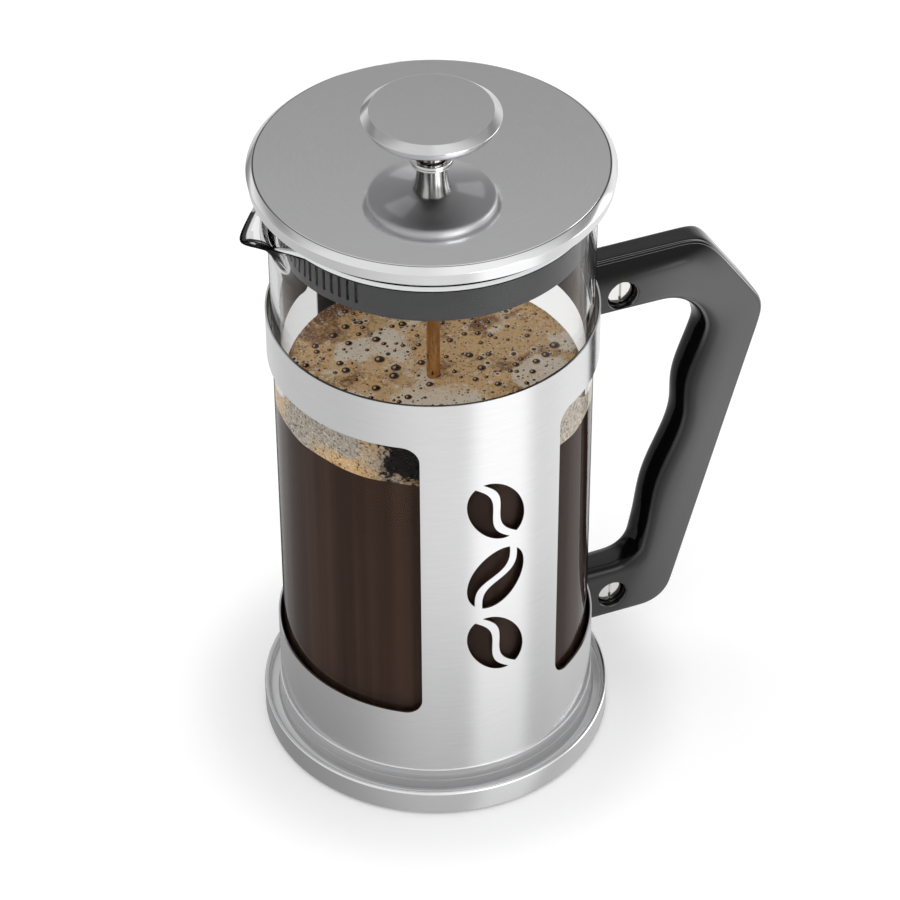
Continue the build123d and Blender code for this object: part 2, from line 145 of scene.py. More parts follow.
class PressBeaker(bpy.types.PropertyGroup):
    wall: length("Wall", "Thickness of the glass", 2.3)
    floor: length("Floor", "Thickness of the glass floor", 3.0)
    foot_rounding: length("Foot rounding", "Rounding at the beaker's foot", 6.0)
    bead: length("Bead", "Stand-out of the rim's bead", 0.5)
    bead_height: length("Bead height", "Height of the rim's bead", 3.0)
    spout_half_angle: angle("Spout half angle", "Half of the rim's arc that the spout takes", 21)
    spout_depth: length("Spout depth", "Height of the spout from its root to the rim", 18.0)
    spout_curve: FloatProperty(
        name="Spout curve", description="Hollowness of the spout's underside", default=1.8
    )
    spout_drop: length("Spout drop", "Fall of the rim from the mouth to the spout's tip", 4.5)
    spout_softness: angle("Spout softness", "Rounding of the spout's tip", 3.2)
    filled: BoolProperty(name="Filled", description="Show coffee and foam in the beaker", default=True)
    foam_top: length("Foam top", "Height of the foam over the table", 133.5)
    foam_depth: length("Foam depth", "Depth of the foam at the glass", 5.5)
    froth_rise: length("Froth rise", "How far froth climbs the glass at the front", 14.0)
    froth_bearing: angle("Froth bearing", "Middle of the stretch of climbing froth, from the handle", -112)
    grounds: FloatVectorProperty(
        name="Grounds",
        description="Place of the patch of coffee grounds on the foam",
        default=(-20.5 * MM, -41 * MM, 138 * MM),
        subtype="TRANSLATION",
        unit="LENGTH",
    )
    bubble_count: IntProperty(name="Bubbles", description="Bubbles on the foam", default=420, min=0)
    bubble_least: length("Least bubble", "Radius of the smallest bubbles", 0.3)
    bubble_most: length("Largest bubble", "Radius of the largest bubbles", 2.0)


class PressLid(bpy.types.PropertyGroup):
    sheet: length("Sheet", "Thickness of the lid's sheet", 0.8)
    hole_radius: length("Hole radius", "Radius of the hole for the bush", 3.85)
    bead_width: length("Bevel width", "Width of the bevel round the lid's top", 1.85)
    bead_drop: length("Bevel drop", "Fall of that bevel", 1.8)
    groove: length("Groove", "Width of the groove round the lid's top", 0.5)
    skirt_taper: length("Skirt taper", "How far the skirt draws in towards its foot", 0.55)
    collar_wall: length("Collar wall", "Thickness of the plastic collar", 2.0)
    collar_radius: length("Collar radius", "Outer radius of the plastic collar", 45.6)
    flange_rise: length("Flange rise", "Underside of the collar's flange over its lower edge", 15.7)
    flange: length("Flange", "Thickness of the collar's flange", 1.8)
    web: length("Web", "Thickness of the collar's web under the lid", 2.4)
    slot_count: IntProperty(name="Slots", description="Strainer slots in the collar", default=24, min=0)
    slot_angle: angle("Slot angle", "Turn from one slot to the next", 3.5)
    slot_width: length("Slot width", "Width of a strainer slot", 1.0)
    slot_height: length("Slot height", "Height of a strainer slot", 8.0)
    slot_rise: length("Slot rise", "Foot of the slots over the collar's lower edge", 2.9)


class PressKnob(bpy.types.PropertyGroup):
    flat_radius: length("Flat radius", "Radius of the knob's flat top", 18.1)
    edge: length("Edge", "Height of the knob's upright edge", 0.4)
    edge_drop: length("Edge drop", "Fall of the bevel round the flat top", 1.8)
    under_drop: length("Underside drop", "Fall of the knob's underside from its rim to the neck", 2.2)
    sheet: length("Sheet", "Thickness of the knob's shells", 0.8)
    neck_foot: length("Neck foot", "Radius of the neck at the lid", 4.5)
    neck_straight: length("Neck straight", "Height of the neck's straight part", 5.0)
    bush_radius: length("Bush radius", "Radius of the bush's tail", 3.75)
    bush_flange: length("Bush flange", "Thickness of the bush's flange", 0.8)
    bush_recess: length("Bush recess", "Depth of the recess in the flange", 0.5)
    bush_recess_radius: length("Bush recess radius", "Radius of that recess", 3.95)
    rod_gap: length("Rod gap", "Play of the rod in the bush", 0.1)


class PressFilter(bpy.types.PropertyGroup):
    mesh_sheet: length("Mesh", "Thickness of the wire mesh", 0.4)
    mesh_pitch: length("Mesh pitch", "Distance from wire to wire of the mesh", 0.55)
    wire: length("Wire", "Radius of the edge coil's wire", 0.32)
    coil_turns: IntProperty(
        name="Coil turns", description="Turns of the coil round the edge", default=150, min=8
    )


class PressHandle(bpy.types.PropertyGroup):
    shoulder_reach: length("Shoulder reach", "Reach of the shoulder's corner from the sleeve", 37.8)
    elbow_reach: length("Elbow reach", "Reach of the elbow's corner from the sleeve", 58.6)
    elbow_drop: length("Elbow drop", "Fall from the handle's top to the elbow's corner", 29.4)
    heel_reach: length("Heel reach", "Reach of the heel's corner from the sleeve", 28.2)
    shoulder_rounding: length("Shoulder rounding", "Radius at the shoulder", 8.0)
    elbow_rounding: length("Elbow rounding", "Radius at the elbow", 10.0)
    heel_rounding: length("Heel rounding", "Radius at the heel", 10.0)
    upper_arm: length("Upper arm", "Depth of the upper arm", 19.0)
    lower_arm: length("Lower arm", "Depth of the lower arm", 20.0)
    grip_depth: length("Grip depth", "Depth of the grip at its hollow", 17.2)
    bay_depth: length("Bay depth", "Extra depth of the grip at the foot of the upper bay", 2.7)
    upper_bump: length("Upper bump", "Stand-out of the upper finger bump", 4.0)
    lower_bump: length("Lower bump", "Stand-out of the lower finger bump", 2.5)
    hollow_rise: length("Hollow rise", "Height of the hollow over the grip's middle", 3.9)
    upper_bay: length("Upper bay", "Radius of the bay under the upper arm", 16.0)
    lower_bay: length("Lower bay", "Radius of the bay over the lower arm", 8.5)
    edge: length("Edge", "Rounding of the outer edges", 1.3)
    strip_half: length("Strip half width", "Half width of the strip on the upper arm", 3.4)
    strip_height: length("Strip height", "Height of the strip over the ledge beside it", 1.0)
    ledge_half: length("Ledge half width", "Half width of the ledge beside the strip", 4.3)
    cove_depth: length("Cove depth", "Depth from the strip at which the arm has its full width", 9.5)
    end_gap: length("End gap", "Gap between the handle and the sleeve", 0.1)
    counterbore: length("Counterbore", "Radius of the screws' counterbores", 4.75)
    recess: length("Recess", "Depth of the screws' heads under the handle's sides", 2.5)
    head: length("Head", "Height of the screws' heads", 1.8)
    head_rounding: length("Head rounding", "Rounding of the heads' edge", 0.45)
    slot_width: length("Slot width", "Width of the screws' slots", 0.9)
    slot_depth: length("Slot depth", "Depth of the screws' slots", 0.8)


class PressFinishes(bpy.types.PropertyGroup):
    sleeve_steel: tint("Sleeve steel", "Polished steel of the sleeve", 240, 240, 241)
    # Painted shade: the sleeve's inner side is coloured dark for the shade inside it
    sleeve_inside_shade: tint("Sleeve inside", "Dull steel on the sleeve's inner side", 66, 61, 55)
    base_steel: tint("Base steel", "Turned steel of the base", 240, 240, 241)
    lid_steel: tint("Lid steel", "Polished steel of the lid and the knob", 238, 238, 239)
    rod_steel: tint("Rod steel", "Polished steel of the rod and the screws", 226, 225, 223)
    filter_steel: tint("Filter steel", "Bright steel of the filter", 205, 205, 205)
    handle_plastic: tint("Handle", "Black plastic of the handle", 28, 28, 29)
    collar_plastic: tint("Collar", "Dark grey of the lid's collar", 58, 58, 59)
    rubber: tint("Rubber", "Matt rubber of the base pad", 52, 52, 54)
    silicone: tint("Silicone", "Soft seat under the beaker", 196, 196, 192)
    brass: tint("Brass", "Brass insert in the knob", 196, 160, 96)
    coffee: tint("Coffee", "Brewed coffee", 57, 42, 35)
    # Brown of a coffee film, which also stands in for a painted reflection of the foam in the rod
    coffee_film_and_reflection: tint("Coffee film", "Steel with a film of coffee on it", 197, 150, 88)
    foam: tint("Foam", "Tan of the foam", 238, 196, 138)
    foam_pale: tint("Pale foam", "Pale patches of the foam", 255, 243, 224)
    foam_dark: tint("Dark foam", "Dark places of the foam", 124, 72, 34)
    froth: tint("Froth", "Grey froth that clings to the glass", 196, 186, 172)
    bubble: tint("Bubble", "Dark look through a bubble", 52, 28, 20)
    floor: tint("Floor", "Pale studio floor", 243, 243, 243)


class PressStudio(bpy.types.PropertyGroup):
    azimuth: angle("Azimuth", "Camera's turn round the press, from the front panel", -21.9)
    elevation: angle("Elevation", "Camera's height angle", 39.7)
    roll: angle("Roll", "Camera's roll", -0.24)
    distance: FloatProperty(
        name="Distance", description="Camera's distance from its aim", default=1.07785, unit="LENGTH"
    )
    aim: FloatVectorProperty(
        name="Aim",
        description="Point that the camera looks at",
        default=(0.004574, -0.001839, 0.10325),
        subtype="TRANSLATION",
        unit="LENGTH",
    )
    lens: FloatProperty(name="Lens", description="Focal length on a 36 mm sensor", default=139.5)
    floor_size: FloatProperty(
        name="Floor", description="Half width of the floor", default=6.0, unit="LENGTH"
    )
    far_sky: share("Far sky", "Level that polished metal mirrors from the far sky", 0.4)
    near_sky: share("Near sky", "Level that it mirrors from the sky on the camera's side", 0.84)
    card_level: share("Card level", "Share of the light that a dark card at the far left leaves", 0.4)
    lamps: FloatProperty(name="Lamps", description="Level of the two lamps that gloss mirrors", default=2.5)
    left_ground: share("Left ground", "Level that it mirrors from the ground at the left", 0.58)
    front_ground: share("Front ground", "Level that it mirrors from the ground in front", 0.79)
    strip_level: FloatProperty(
        name="Strip level", description="Level of a bright strip of ground", default=1.15
    )
    strip_bearing: angle("Strip bearing", "Bearing of the bright strip, right of the camera", 49)
    strip_half: angle("Strip half width", "Half width of that strip", 21)
    contact_shade: share("Contact shade", "Level of the mirrored ground beside the base", 0.58)
    contact_reach: FloatProperty(
        name="Contact reach", description="Reach of that shade from the axis", default=0.19, unit="LENGTH"
    )


class PressSettings(bpy.types.PropertyGroup):
    base: PointerProperty(type=PressBase)
    sleeve: PointerProperty(type=PressSleeve)
    beaker: PointerProperty(type=PressBeaker)
    lid: PointerProperty(type=PressLid)
    knob: PointerProperty(type=PressKnob)
    filter: PointerProperty(type=PressFilter)
    handle: PointerProperty(type=PressHandle)
    finishes: PointerProperty(type=PressFinishes)
    studio: PointerProperty(type=PressStudio)


# Shader maths


class Field:
    """A node's socket that Python's operators build on, each adding a Math node."""

    def __init__(self, tree, socket=None):
        self.tree = tree
        self.socket = socket

    def node(self, kind, settings=None, inputs=None, output=0):
        """A new node's output, with its settings made first and then its inputs."""
        made = self.tree.nodes.new(kind)
        for name, value in (settings or {}).items():
            setattr(made, name, value)
        for name, value in (inputs or {}).items():
            if isinstance(value, Field):
                self.tree.links.new(value.socket, made.inputs[name])
            else:
                made.inputs[name].default_value = value
        return Field(self.tree, made.outputs[output])

    def output(self, name):
        """Another output of this socket's node."""
        return Field(self.tree, self.socket.node.outputs[name])

    def maths(self, operation, *values):
        return self.node("ShaderNodeMath", {"operation": operation}, dict(enumerate(values)))

    def __add__(self, other):
        return self.maths("ADD", self, other)

    __radd__ = __add__

    def __sub__(self, other):
        return self.maths("SUBTRACT", self, other)

    def __rsub__(self, other):
        return self.maths("SUBTRACT", other, self)

    def __mul__(self, other):
        return self.maths("MULTIPLY", self, other)

    __rmul__ = __mul__

    def __truediv__(self, other):
        return self.maths("DIVIDE", self, other)

    def __abs__(self):
        return self.maths("ABSOLUTE", self)

    def step(self, low, high):
        """Smooth rise from 0 at low to 1 at high."""
        inputs = {"Value": self, "From Min": low, "From Max": high}
        return self.node("ShaderNodeMapRange", {"interpolation_type": "SMOOTHSTEP"}, inputs)

    def rise(self, edges, unit=1.0):
        """Smooth rise from 0 to 1 between two edges, counted in a unit."""
        low, high = edges
        return self.step(low * unit, high * unit)

    def swing(self):
        """This noise's way from its middle, to either side of 0."""
        return self - NOISE_MIDDLE

    def most(self, other):
        """The larger of two values."""
        return self.maths("MAXIMUM", self, other)

    def parts(self):
        """X, Y and Z of this vector."""
        made = self.node("ShaderNodeSeparateXYZ", None, {0: self})
        return made, made.output("Y"), made.output("Z")

    def stretched(self, *scale):
        """This vector, stretched along the three axes."""
        return self.node("ShaderNodeMapping", None, {"Vector": self, "Scale": scale})

    def vector_maths(self, operation, *others):
        """Value that Vector Math gives for this vector, and for another where it takes two."""
        inputs = dict(enumerate((self, *others)))
        return self.node("ShaderNodeVectorMath", {"operation": operation}, inputs, "Value")

    def blend(self, first, second):
        """Shader between two shaders, by this value."""
        return self.node("ShaderNodeMixShader", None, {0: self, 1: first, 2: second})

    def mix(self, low, high):
        """Colour between two colours, by this value."""
        return self.node("ShaderNodeMix", {"data_type": "RGBA"}, {0: self, 6: low, 7: high}, 2)

    def tinted(self, level):
        """This colour, darker by a level."""
        inputs = {0: 1.0, 6: self, 7: (level, level, level, 1.0)}
        return self.node("ShaderNodeMix", {"data_type": "RGBA", "blend_type": "MULTIPLY"}, inputs, 2)

    def noise(self, scale, detail=2.0, roughness=0.5):
        """Noise at this vector."""
        inputs = {"Vector": self, "Scale": scale, "Detail": detail, "Roughness": roughness}
        return self.node("ShaderNodeTexNoise", None, inputs)

    def cells(self, scale):
        """Distance to the nearest of scattered points at this vector."""
        return self.node("ShaderNodeTexVoronoi", None, {"Vector": self, "Scale": scale})

    def bump(self, strength, distance):
        """Normal of a surface with this height."""
        inputs = {"Height": self, "Strength": strength, "Distance": distance}
        return self.node("ShaderNodeBump", None, inputs)


def opaque(colour):
    return (*colour, 1.0)


def scaled(colour, factor):
    """A colour made darker or lighter."""
    return (*(min(1.0, part * factor) for part in colour), 1.0)


def new_material(name):
    """A material with an empty node tree, and a field to build on."""
    material = bpy.data.materials.new(name)
    material.use_nodes = True
    material.node_tree.nodes.clear()
    return material, Field(material.node_tree)


def finished(material, shader):
    """The material, with a shader sent to its output."""
    output = material.node_tree.nodes.new("ShaderNodeOutputMaterial")
    material.node_tree.links.new(shader.socket, output.inputs["Surface"])
    return material


def principled(field, **inputs):
    """A Principled shader, with its sockets named in lower case."""
    named = {name.replace("_", " ").title().replace("Ior", "IOR"): value for name, value in inputs.items()}
    return field.node("ShaderNodeBsdfPrincipled", None, named)


def box_light(value, middle, half, soft):
    """Level of 1 round a middle value, that falls softly to 0 on both sides."""
    return 1 - abs(value - middle).step(half - soft, half + soft)


def largest(values):
    """The largest of several values."""
    most = values[0]
    for value in values[1:]:
        most = most.most(value)
    return most


def place(field):
    """Object coordinates."""
    return field.node("ShaderNodeTexCoord", None, None, "Object")


def facing_to(field, way):
    """How far a surface faces one way, from its own normal."""
    normal = field.node("ShaderNodeNewGeometry", None, None, "Normal")
    return normal.vector_maths("DOT_PRODUCT", way)


def facing_up(field):
    return facing_to(field, (0.0, 0.0, 1.0))


def round_place(field):
    """Turn, radius and height about the press's axis."""
    x, y, up = place(field).parts()
    return field.maths("ARCTAN2", y, x), field.maths("SQRT", x * x + y * y), up


def turned_grain(field, along, across):
    """Streaks that run round the press's axis, from 0 to 1."""
    turn, radius, up = round_place(field)
    inputs = {"X": turn * along, "Y": radius * across, "Z": up * across}
    return field.node("ShaderNodeCombineXYZ", None, inputs).noise(*GRAIN_NOISE)


# Finishes, where a noise is (scale, detail, roughness), edges are (low, high) and shades parts of a colour


def shades(colour, levels):
    """Darker and lighter shades of a colour."""
    return [scaled(colour, level) for level in levels]


GRAIN_STRETCH = 6.0
GRAIN_NOISE = (1.0, 3.0, 0.65)
GRAIN_SHARE = 0.7
GRAIN_BUMP = (0.05, 0.05 * MM)
SMEARS = (45.0, 3.0)
STEEL_SHADES = (0.93, 1.05)


def polish(field, colour, streak):
    """Grain and smears of turned steel, and its colour between them."""
    grain = turned_grain(field, GRAIN_STRETCH, streak / MM)
    smears = place(field).noise(*SMEARS)
    shade = (GRAIN_SHARE * grain + (1 - GRAIN_SHARE) * smears).mix(*shades(colour, STEEL_SHADES))
    return grain, smears, shade


# Dark lines painted at some radii; the lid's line stands in for the shade in its groove
DARK_LINE_HALF, DARK_LINE_SOFT = 0.2 * MM, 0.08 * MM
DARK_LINE_STRENGTH, DARK_LINE_LEVEL = 0.55, 0.2
LEVEL_FACES = (0.9, 0.98)
SATIN_STRENGTH, SATIN_SOFT = 0.6, 0.4 * MM


def steel(name, colour, roughness, spread, streak, anisotropy=0.0, lines=(), satin=0.0, slope=1.0):
    """Turned steel with a fine grain, dark lines painted at some radii, a satin middle, and painted shade
    that darkens its slopes.
    """
    material, field = new_material(name)
    grain, smears, shade = polish(field, colour, streak)
    for radius in lines:
        dark_line = box_light(round_place(field)[1], radius, DARK_LINE_HALF, DARK_LINE_SOFT)
        shade = (DARK_LINE_STRENGTH * dark_line).mix(shade, scaled(colour, DARK_LINE_LEVEL))
    # Painted shade: faces that do not face up get a darker colour
    if slope < 1:
        shade = facing_up(field).rise(LEVEL_FACES).mix(shade.tinted(slope), shade)
    metal = 1.0
    if satin:
        metal = 1 - SATIN_STRENGTH * (1 - round_place(field)[1].step(satin - SATIN_SOFT, satin))
    shader = principled(
        field,
        base_color=shade,
        metallic=metal,
        roughness=roughness + spread * grain.swing() + spread / 2 * smears.swing(),
        anisotropic=anisotropy,
        normal=grain.bump(*GRAIN_BUMP),
    )
    return finished(material, shader)


SLEEVE_STREAK = 1.2
SLEEVE_SKIN = (-0.6 * MM, -0.4 * MM)
SLEEVE_SPREAD = 0.06
SLEEVE_ANISOTROPY = 0.3
INSIDE_SHADES = (0.8, 1.2)
INSIDE_ROUGHNESS, OUTSIDE_GAIN = 0.35, 0.18


def sleeve_sheet(name, colour, inside, radius):
    """Polished steel outside, and rough steel painted dark on the side that faces the glass, as the shade
    inside the sleeve.
    """
    material, field = new_material(name)
    grain, smears, polished = polish(field, colour, SLEEVE_STREAK)
    deep, shallow = SLEEVE_SKIN
    outside = round_place(field)[1].step(radius + deep, radius + shallow)
    # Painted shade on the inner side, mixed with smears
    dulled_by_shade = smears.mix(*shades(inside, INSIDE_SHADES))
    shader = principled(
        field,
        base_color=outside.mix(dulled_by_shade, polished),
        metallic=1.0,
        roughness=INSIDE_ROUGHNESS - OUTSIDE_GAIN * outside + SLEEVE_SPREAD * grain.swing(),
        anisotropic=SLEEVE_ANISOTROPY,
        normal=grain.bump(*GRAIN_BUMP),
    )
    return finished(material, shader)


SCRATCH_STRETCH = (1.0, 14.0, 3.0)
SCRATCHES = (600.0,)
SCRATCH_SPREAD = 0.12
SCRATCH_BUMP = (0.06, 0.04 * MM)
STAINS = (220.0,)
STAIN_SHADES = (0.9, 1.04)


def plain_steel(name, colour, roughness):
    """Steel of small fittings, with faint scratches and stains."""
    material, field = new_material(name)
    here = place(field)
    scratches = here.stretched(*SCRATCH_STRETCH).noise(*SCRATCHES)
    shader = principled(
        field,
        base_color=here.noise(*STAINS).mix(*shades(colour, STAIN_SHADES)),
        metallic=1.0,
        roughness=roughness + SCRATCH_SPREAD * scratches.swing(),
        normal=scratches.bump(*SCRATCH_BUMP),
    )
    return finished(material, shader)


STREAK_ROUND, STREAK_RISE = 2.2, 20.0
STREAKS = (1.6, 3.0, 0.6)
STREAK_EDGES = (0.46, 0.62)
STREAK_SHADES = (0.1, 0.8)
STREAK_SPREAD = 0.1


def reflection_streaked_steel(name, colour, roughness):
    """Chrome of the neck, with upright dark and bright streaks round it, painted as its reflections."""
    material, field = new_material(name)
    turn, _, up = round_place(field)
    across, along = (STREAK_ROUND * field.maths(wave, turn) for wave in ("SINE", "COSINE"))
    around = field.node("ShaderNodeCombineXYZ", None, {"X": across, "Y": along, "Z": STREAK_RISE * up})
    streaks = around.noise(*STREAKS)
    # Painted reflections: dark and bright upright streaks
    shade = streaks.rise(STREAK_EDGES).mix(*shades(colour, STREAK_SHADES))
    gloss = roughness + STREAK_SPREAD * streaks
    return finished(material, principled(field, base_color=shade, metallic=1.0, roughness=gloss))


WEDGE_TURNS = tuple(math.radians(turn) for turn in (-17, 108, 199))
WEDGE_EDGES = (math.cos(0.34), math.cos(0.2))
WEDGE_START, WEDGE_END = (0.34, 0.42), (0.76, 0.84)
WEDGE_STREAK = 3.0
WEDGE_HIGHLIGHT_SHADES = (0.66, 1.0)
WEDGE_SPREAD = 0.08
WEDGE_ANISOTROPY = 0.8


def wedge_highlight_steel(name, colour, roughness, reach):
    """Turned steel under the knob, with painted highlights: the bright wedges that a turned face shows."""
    material, field = new_material(name)
    turn, radius = round_place(field)[:2]
    grain = turned_grain(field, GRAIN_STRETCH, WEDGE_STREAK / MM)
    # Painted highlights: bright wedges round a few turns
    near = [field.maths("COSINE", turn - middle).rise(WEDGE_EDGES) for middle in WEDGE_TURNS]
    ring = radius.rise(WEDGE_START, reach) * (1 - radius.rise(WEDGE_END, reach))
    shader = principled(
        field,
        base_color=(largest(near) * ring).mix(*shades(colour, WEDGE_HIGHLIGHT_SHADES)),
        metallic=1.0,
        roughness=roughness + WEDGE_SPREAD * grain.swing(),
        anisotropic=WEDGE_ANISOTROPY,
    )
    return finished(material, shader)


RUN_STRETCH = (1.0, 1.0, 0.08)
RUNS = (900.0, 3.0)
RUN_SWAY, WET_SOFT = 8 * MM, 6 * MM
FILM_LEAST, FILM_RISE = 0.7, 0.6
RUN_SPREAD = 0.08
RUN_BUMP = (0.05, 0.05 * MM)


def film_and_reflection_steel(name, colour, film, roughness, height):
    """Steel of the rod, tinted brown below a height: a film of coffee, and also the painted reflection of
    the foam that the rod mirrors.
    """
    material, field = new_material(name)
    here = place(field)
    runs = here.stretched(*RUN_STRETCH).noise(*RUNS)
    # Brown below a height: coffee film and painted reflection of the foam
    film_and_reflection = 1 - (here.parts()[2] + RUN_SWAY * runs.swing()).step(height - WET_SOFT, height + WET_SOFT)
    shader = principled(
        field,
        base_color=(film_and_reflection * (FILM_LEAST + FILM_RISE * runs)).mix(opaque(colour), opaque(film)),
        metallic=1.0,
        roughness=roughness + RUN_SPREAD * runs.swing(),
        normal=runs.bump(*RUN_BUMP),
    )
    return finished(material, shader)


COLLAR_SKIN = (1800.0, 4.0)
COLLAR_SPREAD = 0.08
COLLAR_BUMP = (0.04, 0.03 * MM)
COLLAR_WEAR = (70.0, 3.0)
COLLAR_WEAR_EDGES = (0.45, 0.75)
COLLAR_SHADES = (1.0, 1.25)
WORN_ROUGHNESS = 0.05


def moulded_plastic(name, colour, roughness):
    """Plastic of the collar, with a fine moulded skin and faint wear."""
    material, field = new_material(name)
    here = place(field)
    skin = here.noise(*COLLAR_SKIN)
    wear = here.noise(*COLLAR_WEAR).rise(COLLAR_WEAR_EDGES)
    shader = principled(
        field,
        base_color=wear.mix(*shades(colour, COLLAR_SHADES)),
        roughness=roughness + COLLAR_SPREAD * skin.swing() + WORN_ROUGHNESS * wear,
        normal=skin.bump(*COLLAR_BUMP),
    )
    return finished(material, shader)


# Where the handle's shine and colour are lowered as painted shade: by the finger side and by the sleeve
FINGER_EDGES = (5 * MM, 19 * MM)
ELBOW_EDGES = (-16 * MM, 6 * MM)
SLEEVE_SIDE = (52 * MM, 84 * MM)
SIDE_EDGES = (0.7, 1.0)
TOP_EDGES, TOP_SHINE = (0.8, 0.97), 0.45
OUTER_EDGES, OUTER_SHINE = (0.25, 0.6), 0.6
SHADE_DULLING = 0.58


def handle_shine_and_shade(here, facing, half, elbow, heel):
    """Shares of shine over the handle, and of its finger side; the finger side and the part by the sleeve
    get painted shade, which lowers their shine.
    """
    across, aside, up = here.parts()
    lean = (elbow.x - heel.x) / (elbow.z - heel.z)
    inward = heel.x + lean * (up - heel.z) - across
    below, above = ELBOW_EDGES
    fingers = inward.rise(FINGER_EDGES) * (1 - up.step(elbow.z + below, elbow.z + above))
    dulled_by_shade = fingers.most(1 - across.rise(SLEEVE_SIDE))
    side = (1 - SHADE_DULLING * dulled_by_shade) * abs(aside).rise(SIDE_EDGES, half)
    outward, _, level = facing
    side = side.most(OUTER_SHINE * outward.rise(OUTER_EDGES))
    return side.most(TOP_SHINE * level.rise(TOP_EDGES)), fingers


HANDLE_SKIN = (2600.0, 3.0)
HANDLE_SPREAD = 0.05
HANDLE_BUMP = (0.03, 0.03 * MM)
HANDLE_WEAR = (60.0, 3.0)
HANDLE_WEAR_EDGES = (0.4, 0.75)
HANDLE_SHADES = (1.0, 1.3)
HANDLE_SHADOW = 0.25
HANDLE_ROUGHNESS, SHINE_ROUGHNESS, WEAR_ROUGHNESS = 0.08, 0.2, 0.03
HANDLE_SPECULAR = 0.1
LEAST_COAT, COAT_IOR, COAT_ROUGHNESS = 0.03, 1.9, 0.16
# Painted glint along the handle's edges
EDGE_GLINT = (0.8, 0.06, 0.05)
EDGE_GLINT_STRENGTH, FINGER_FADE = 0.7, 0.9
EDGE_GLINT_COLOUR = (0.3, 0.3, 0.31, 1.0)


def handle_plastic(name, colour, half, elbow, heel):
    """Black plastic with a satin shine on its sides, its colour painted lighter there and darker elsewhere
    as shade, and a painted glint along its edges.
    """
    material, field = new_material(name)
    here = place(field)
    facing = field.node("ShaderNodeNewGeometry", None, None, "Normal").parts()
    shine, fingers = handle_shine_and_shade(here, facing, half, elbow, heel)
    skin = here.noise(*HANDLE_SKIN)
    wear = here.noise(*HANDLE_WEAR).rise(HANDLE_WEAR_EDGES)
    # Painted light: the colour drops to a quarter where the shine is low, as shade
    shade = shine.mix(scaled(colour, HANDLE_SHADOW), wear.mix(*shades(colour, HANDLE_SHADES)))
    # Painted glint: a pale line where the normal turns from the side, faded on the finger side
    edges = box_light(abs(facing[1]), *EDGE_GLINT)
    gloss = HANDLE_ROUGHNESS + SHINE_ROUGHNESS * shine
    shader = principled(
        field,
        base_color=(EDGE_GLINT_STRENGTH * edges * (1 - FINGER_FADE * fingers)).mix(shade, EDGE_GLINT_COLOUR),
        roughness=gloss + HANDLE_SPREAD * skin.swing() + WEAR_ROUGHNESS * wear,
        specular_ior_level=HANDLE_SPECULAR,
        coat_weight=LEAST_COAT + (1 - LEAST_COAT) * shine,
        coat_ior=COAT_IOR,
        coat_roughness=COAT_ROUGHNESS,
        normal=skin.bump(*HANDLE_BUMP),
    )
    return finished(material, shader)


BLOOM = (120.0, 4.0)
BLOOM_SHADES = (0.8, 1.3)
BLOOM_ROUGHNESS = 0.1
RUBBER_SKIN = (1500.0,)
RUBBER_BUMP = (0.2, 0.05 * MM)


def rubber(name, colour, roughness):
    """Soft matt rubber with a dusty bloom."""
    material, field = new_material(name)
    here = place(field)
    bloom = here.noise(*BLOOM)
    shader = principled(
        field,
        base_color=bloom.mix(*shades(colour, BLOOM_SHADES)),
        roughness=roughness + BLOOM_ROUGHNESS * bloom,
        normal=here.noise(*RUBBER_SKIN).bump(*RUBBER_BUMP),
    )
    return finished(material, shader)


OUTLINE_EDGES, SPOUT_OUTLINE_EDGES = (0.9, 0.985), (0.6, 0.82)
SPOUT_SOFT = 1.5 * MM
LIP_CURVE = 0.8
LIP_EDGES = (-1.0 * MM, -0.7 * MM)
CREASE_EDGES = (0.4 * MM, 0.8 * MM)
UPPER_FACES = (0.2, 0.6)
RIM_START = 0.1 * MM
PAINTED_OUTLINE_STRENGTH, PAINTED_LINE_STRENGTH = 0.9, 0.95


def painted_glass_lines(field, here, facing, bead, bead_foot, spout_start, spout):
    """Shares of the dark lines painted on the glass as dark reflections and shade: its outline, its rim,
    and the spout's lip and crease.
    """
    along, across, up = here.parts()
    reach, drop, top = spout
    rim = (1 - facing_up(field).rise(UPPER_FACES)) * up.step(bead_foot - RIM_START, bead_foot) * (1 - bead)
    drawn = 1 - along.step(-spout_start - SPOUT_SOFT, -spout_start)
    plain_outline = facing.rise(OUTLINE_EDGES)
    outline = plain_outline + (facing.rise(SPOUT_OUTLINE_EDGES) - plain_outline) * drawn
    drawn_out = ((round_place(field)[1] - spout_start) / reach).most(0.0)
    lip = up - (top - drop * field.maths("POWER", drawn_out, LIP_CURVE))
    crease = 1 - abs(across).rise(CREASE_EDGES)
    lines = rim.most(drawn * crease.most(lip.rise(LIP_EDGES)))
    return (outline * PAINTED_OUTLINE_STRENGTH).most(lines * PAINTED_LINE_STRENGTH)


HAZE = (90.0, 3.0)
HAZE_EDGES = (0.5, 0.8)
HAZE_ROUGHNESS = 0.012
HAZE_COLOUR = (0.985, 0.99, 0.99, 1.0)
PAINTED_LINE_COLOUR, LINE_ROUGHNESS = (0.004, 0.004, 0.005, 1.0), 0.2
BEAD_HIGHLIGHT_COLOUR, BEAD_ROUGHNESS = (0.93, 0.94, 0.94, 1.0), 0.1
GLASS_IOR = 1.14
EVEN_BLEND = 0.5
BEAD_RISE, BEAD_HALF, BEAD_SOFT = 1.35 * MM, 0.75 * MM, 0.08 * MM
BEAD_HIGHLIGHT_STRENGTH = 0.9
BEAD_SIDE_EDGES = (0.7, 0.95)


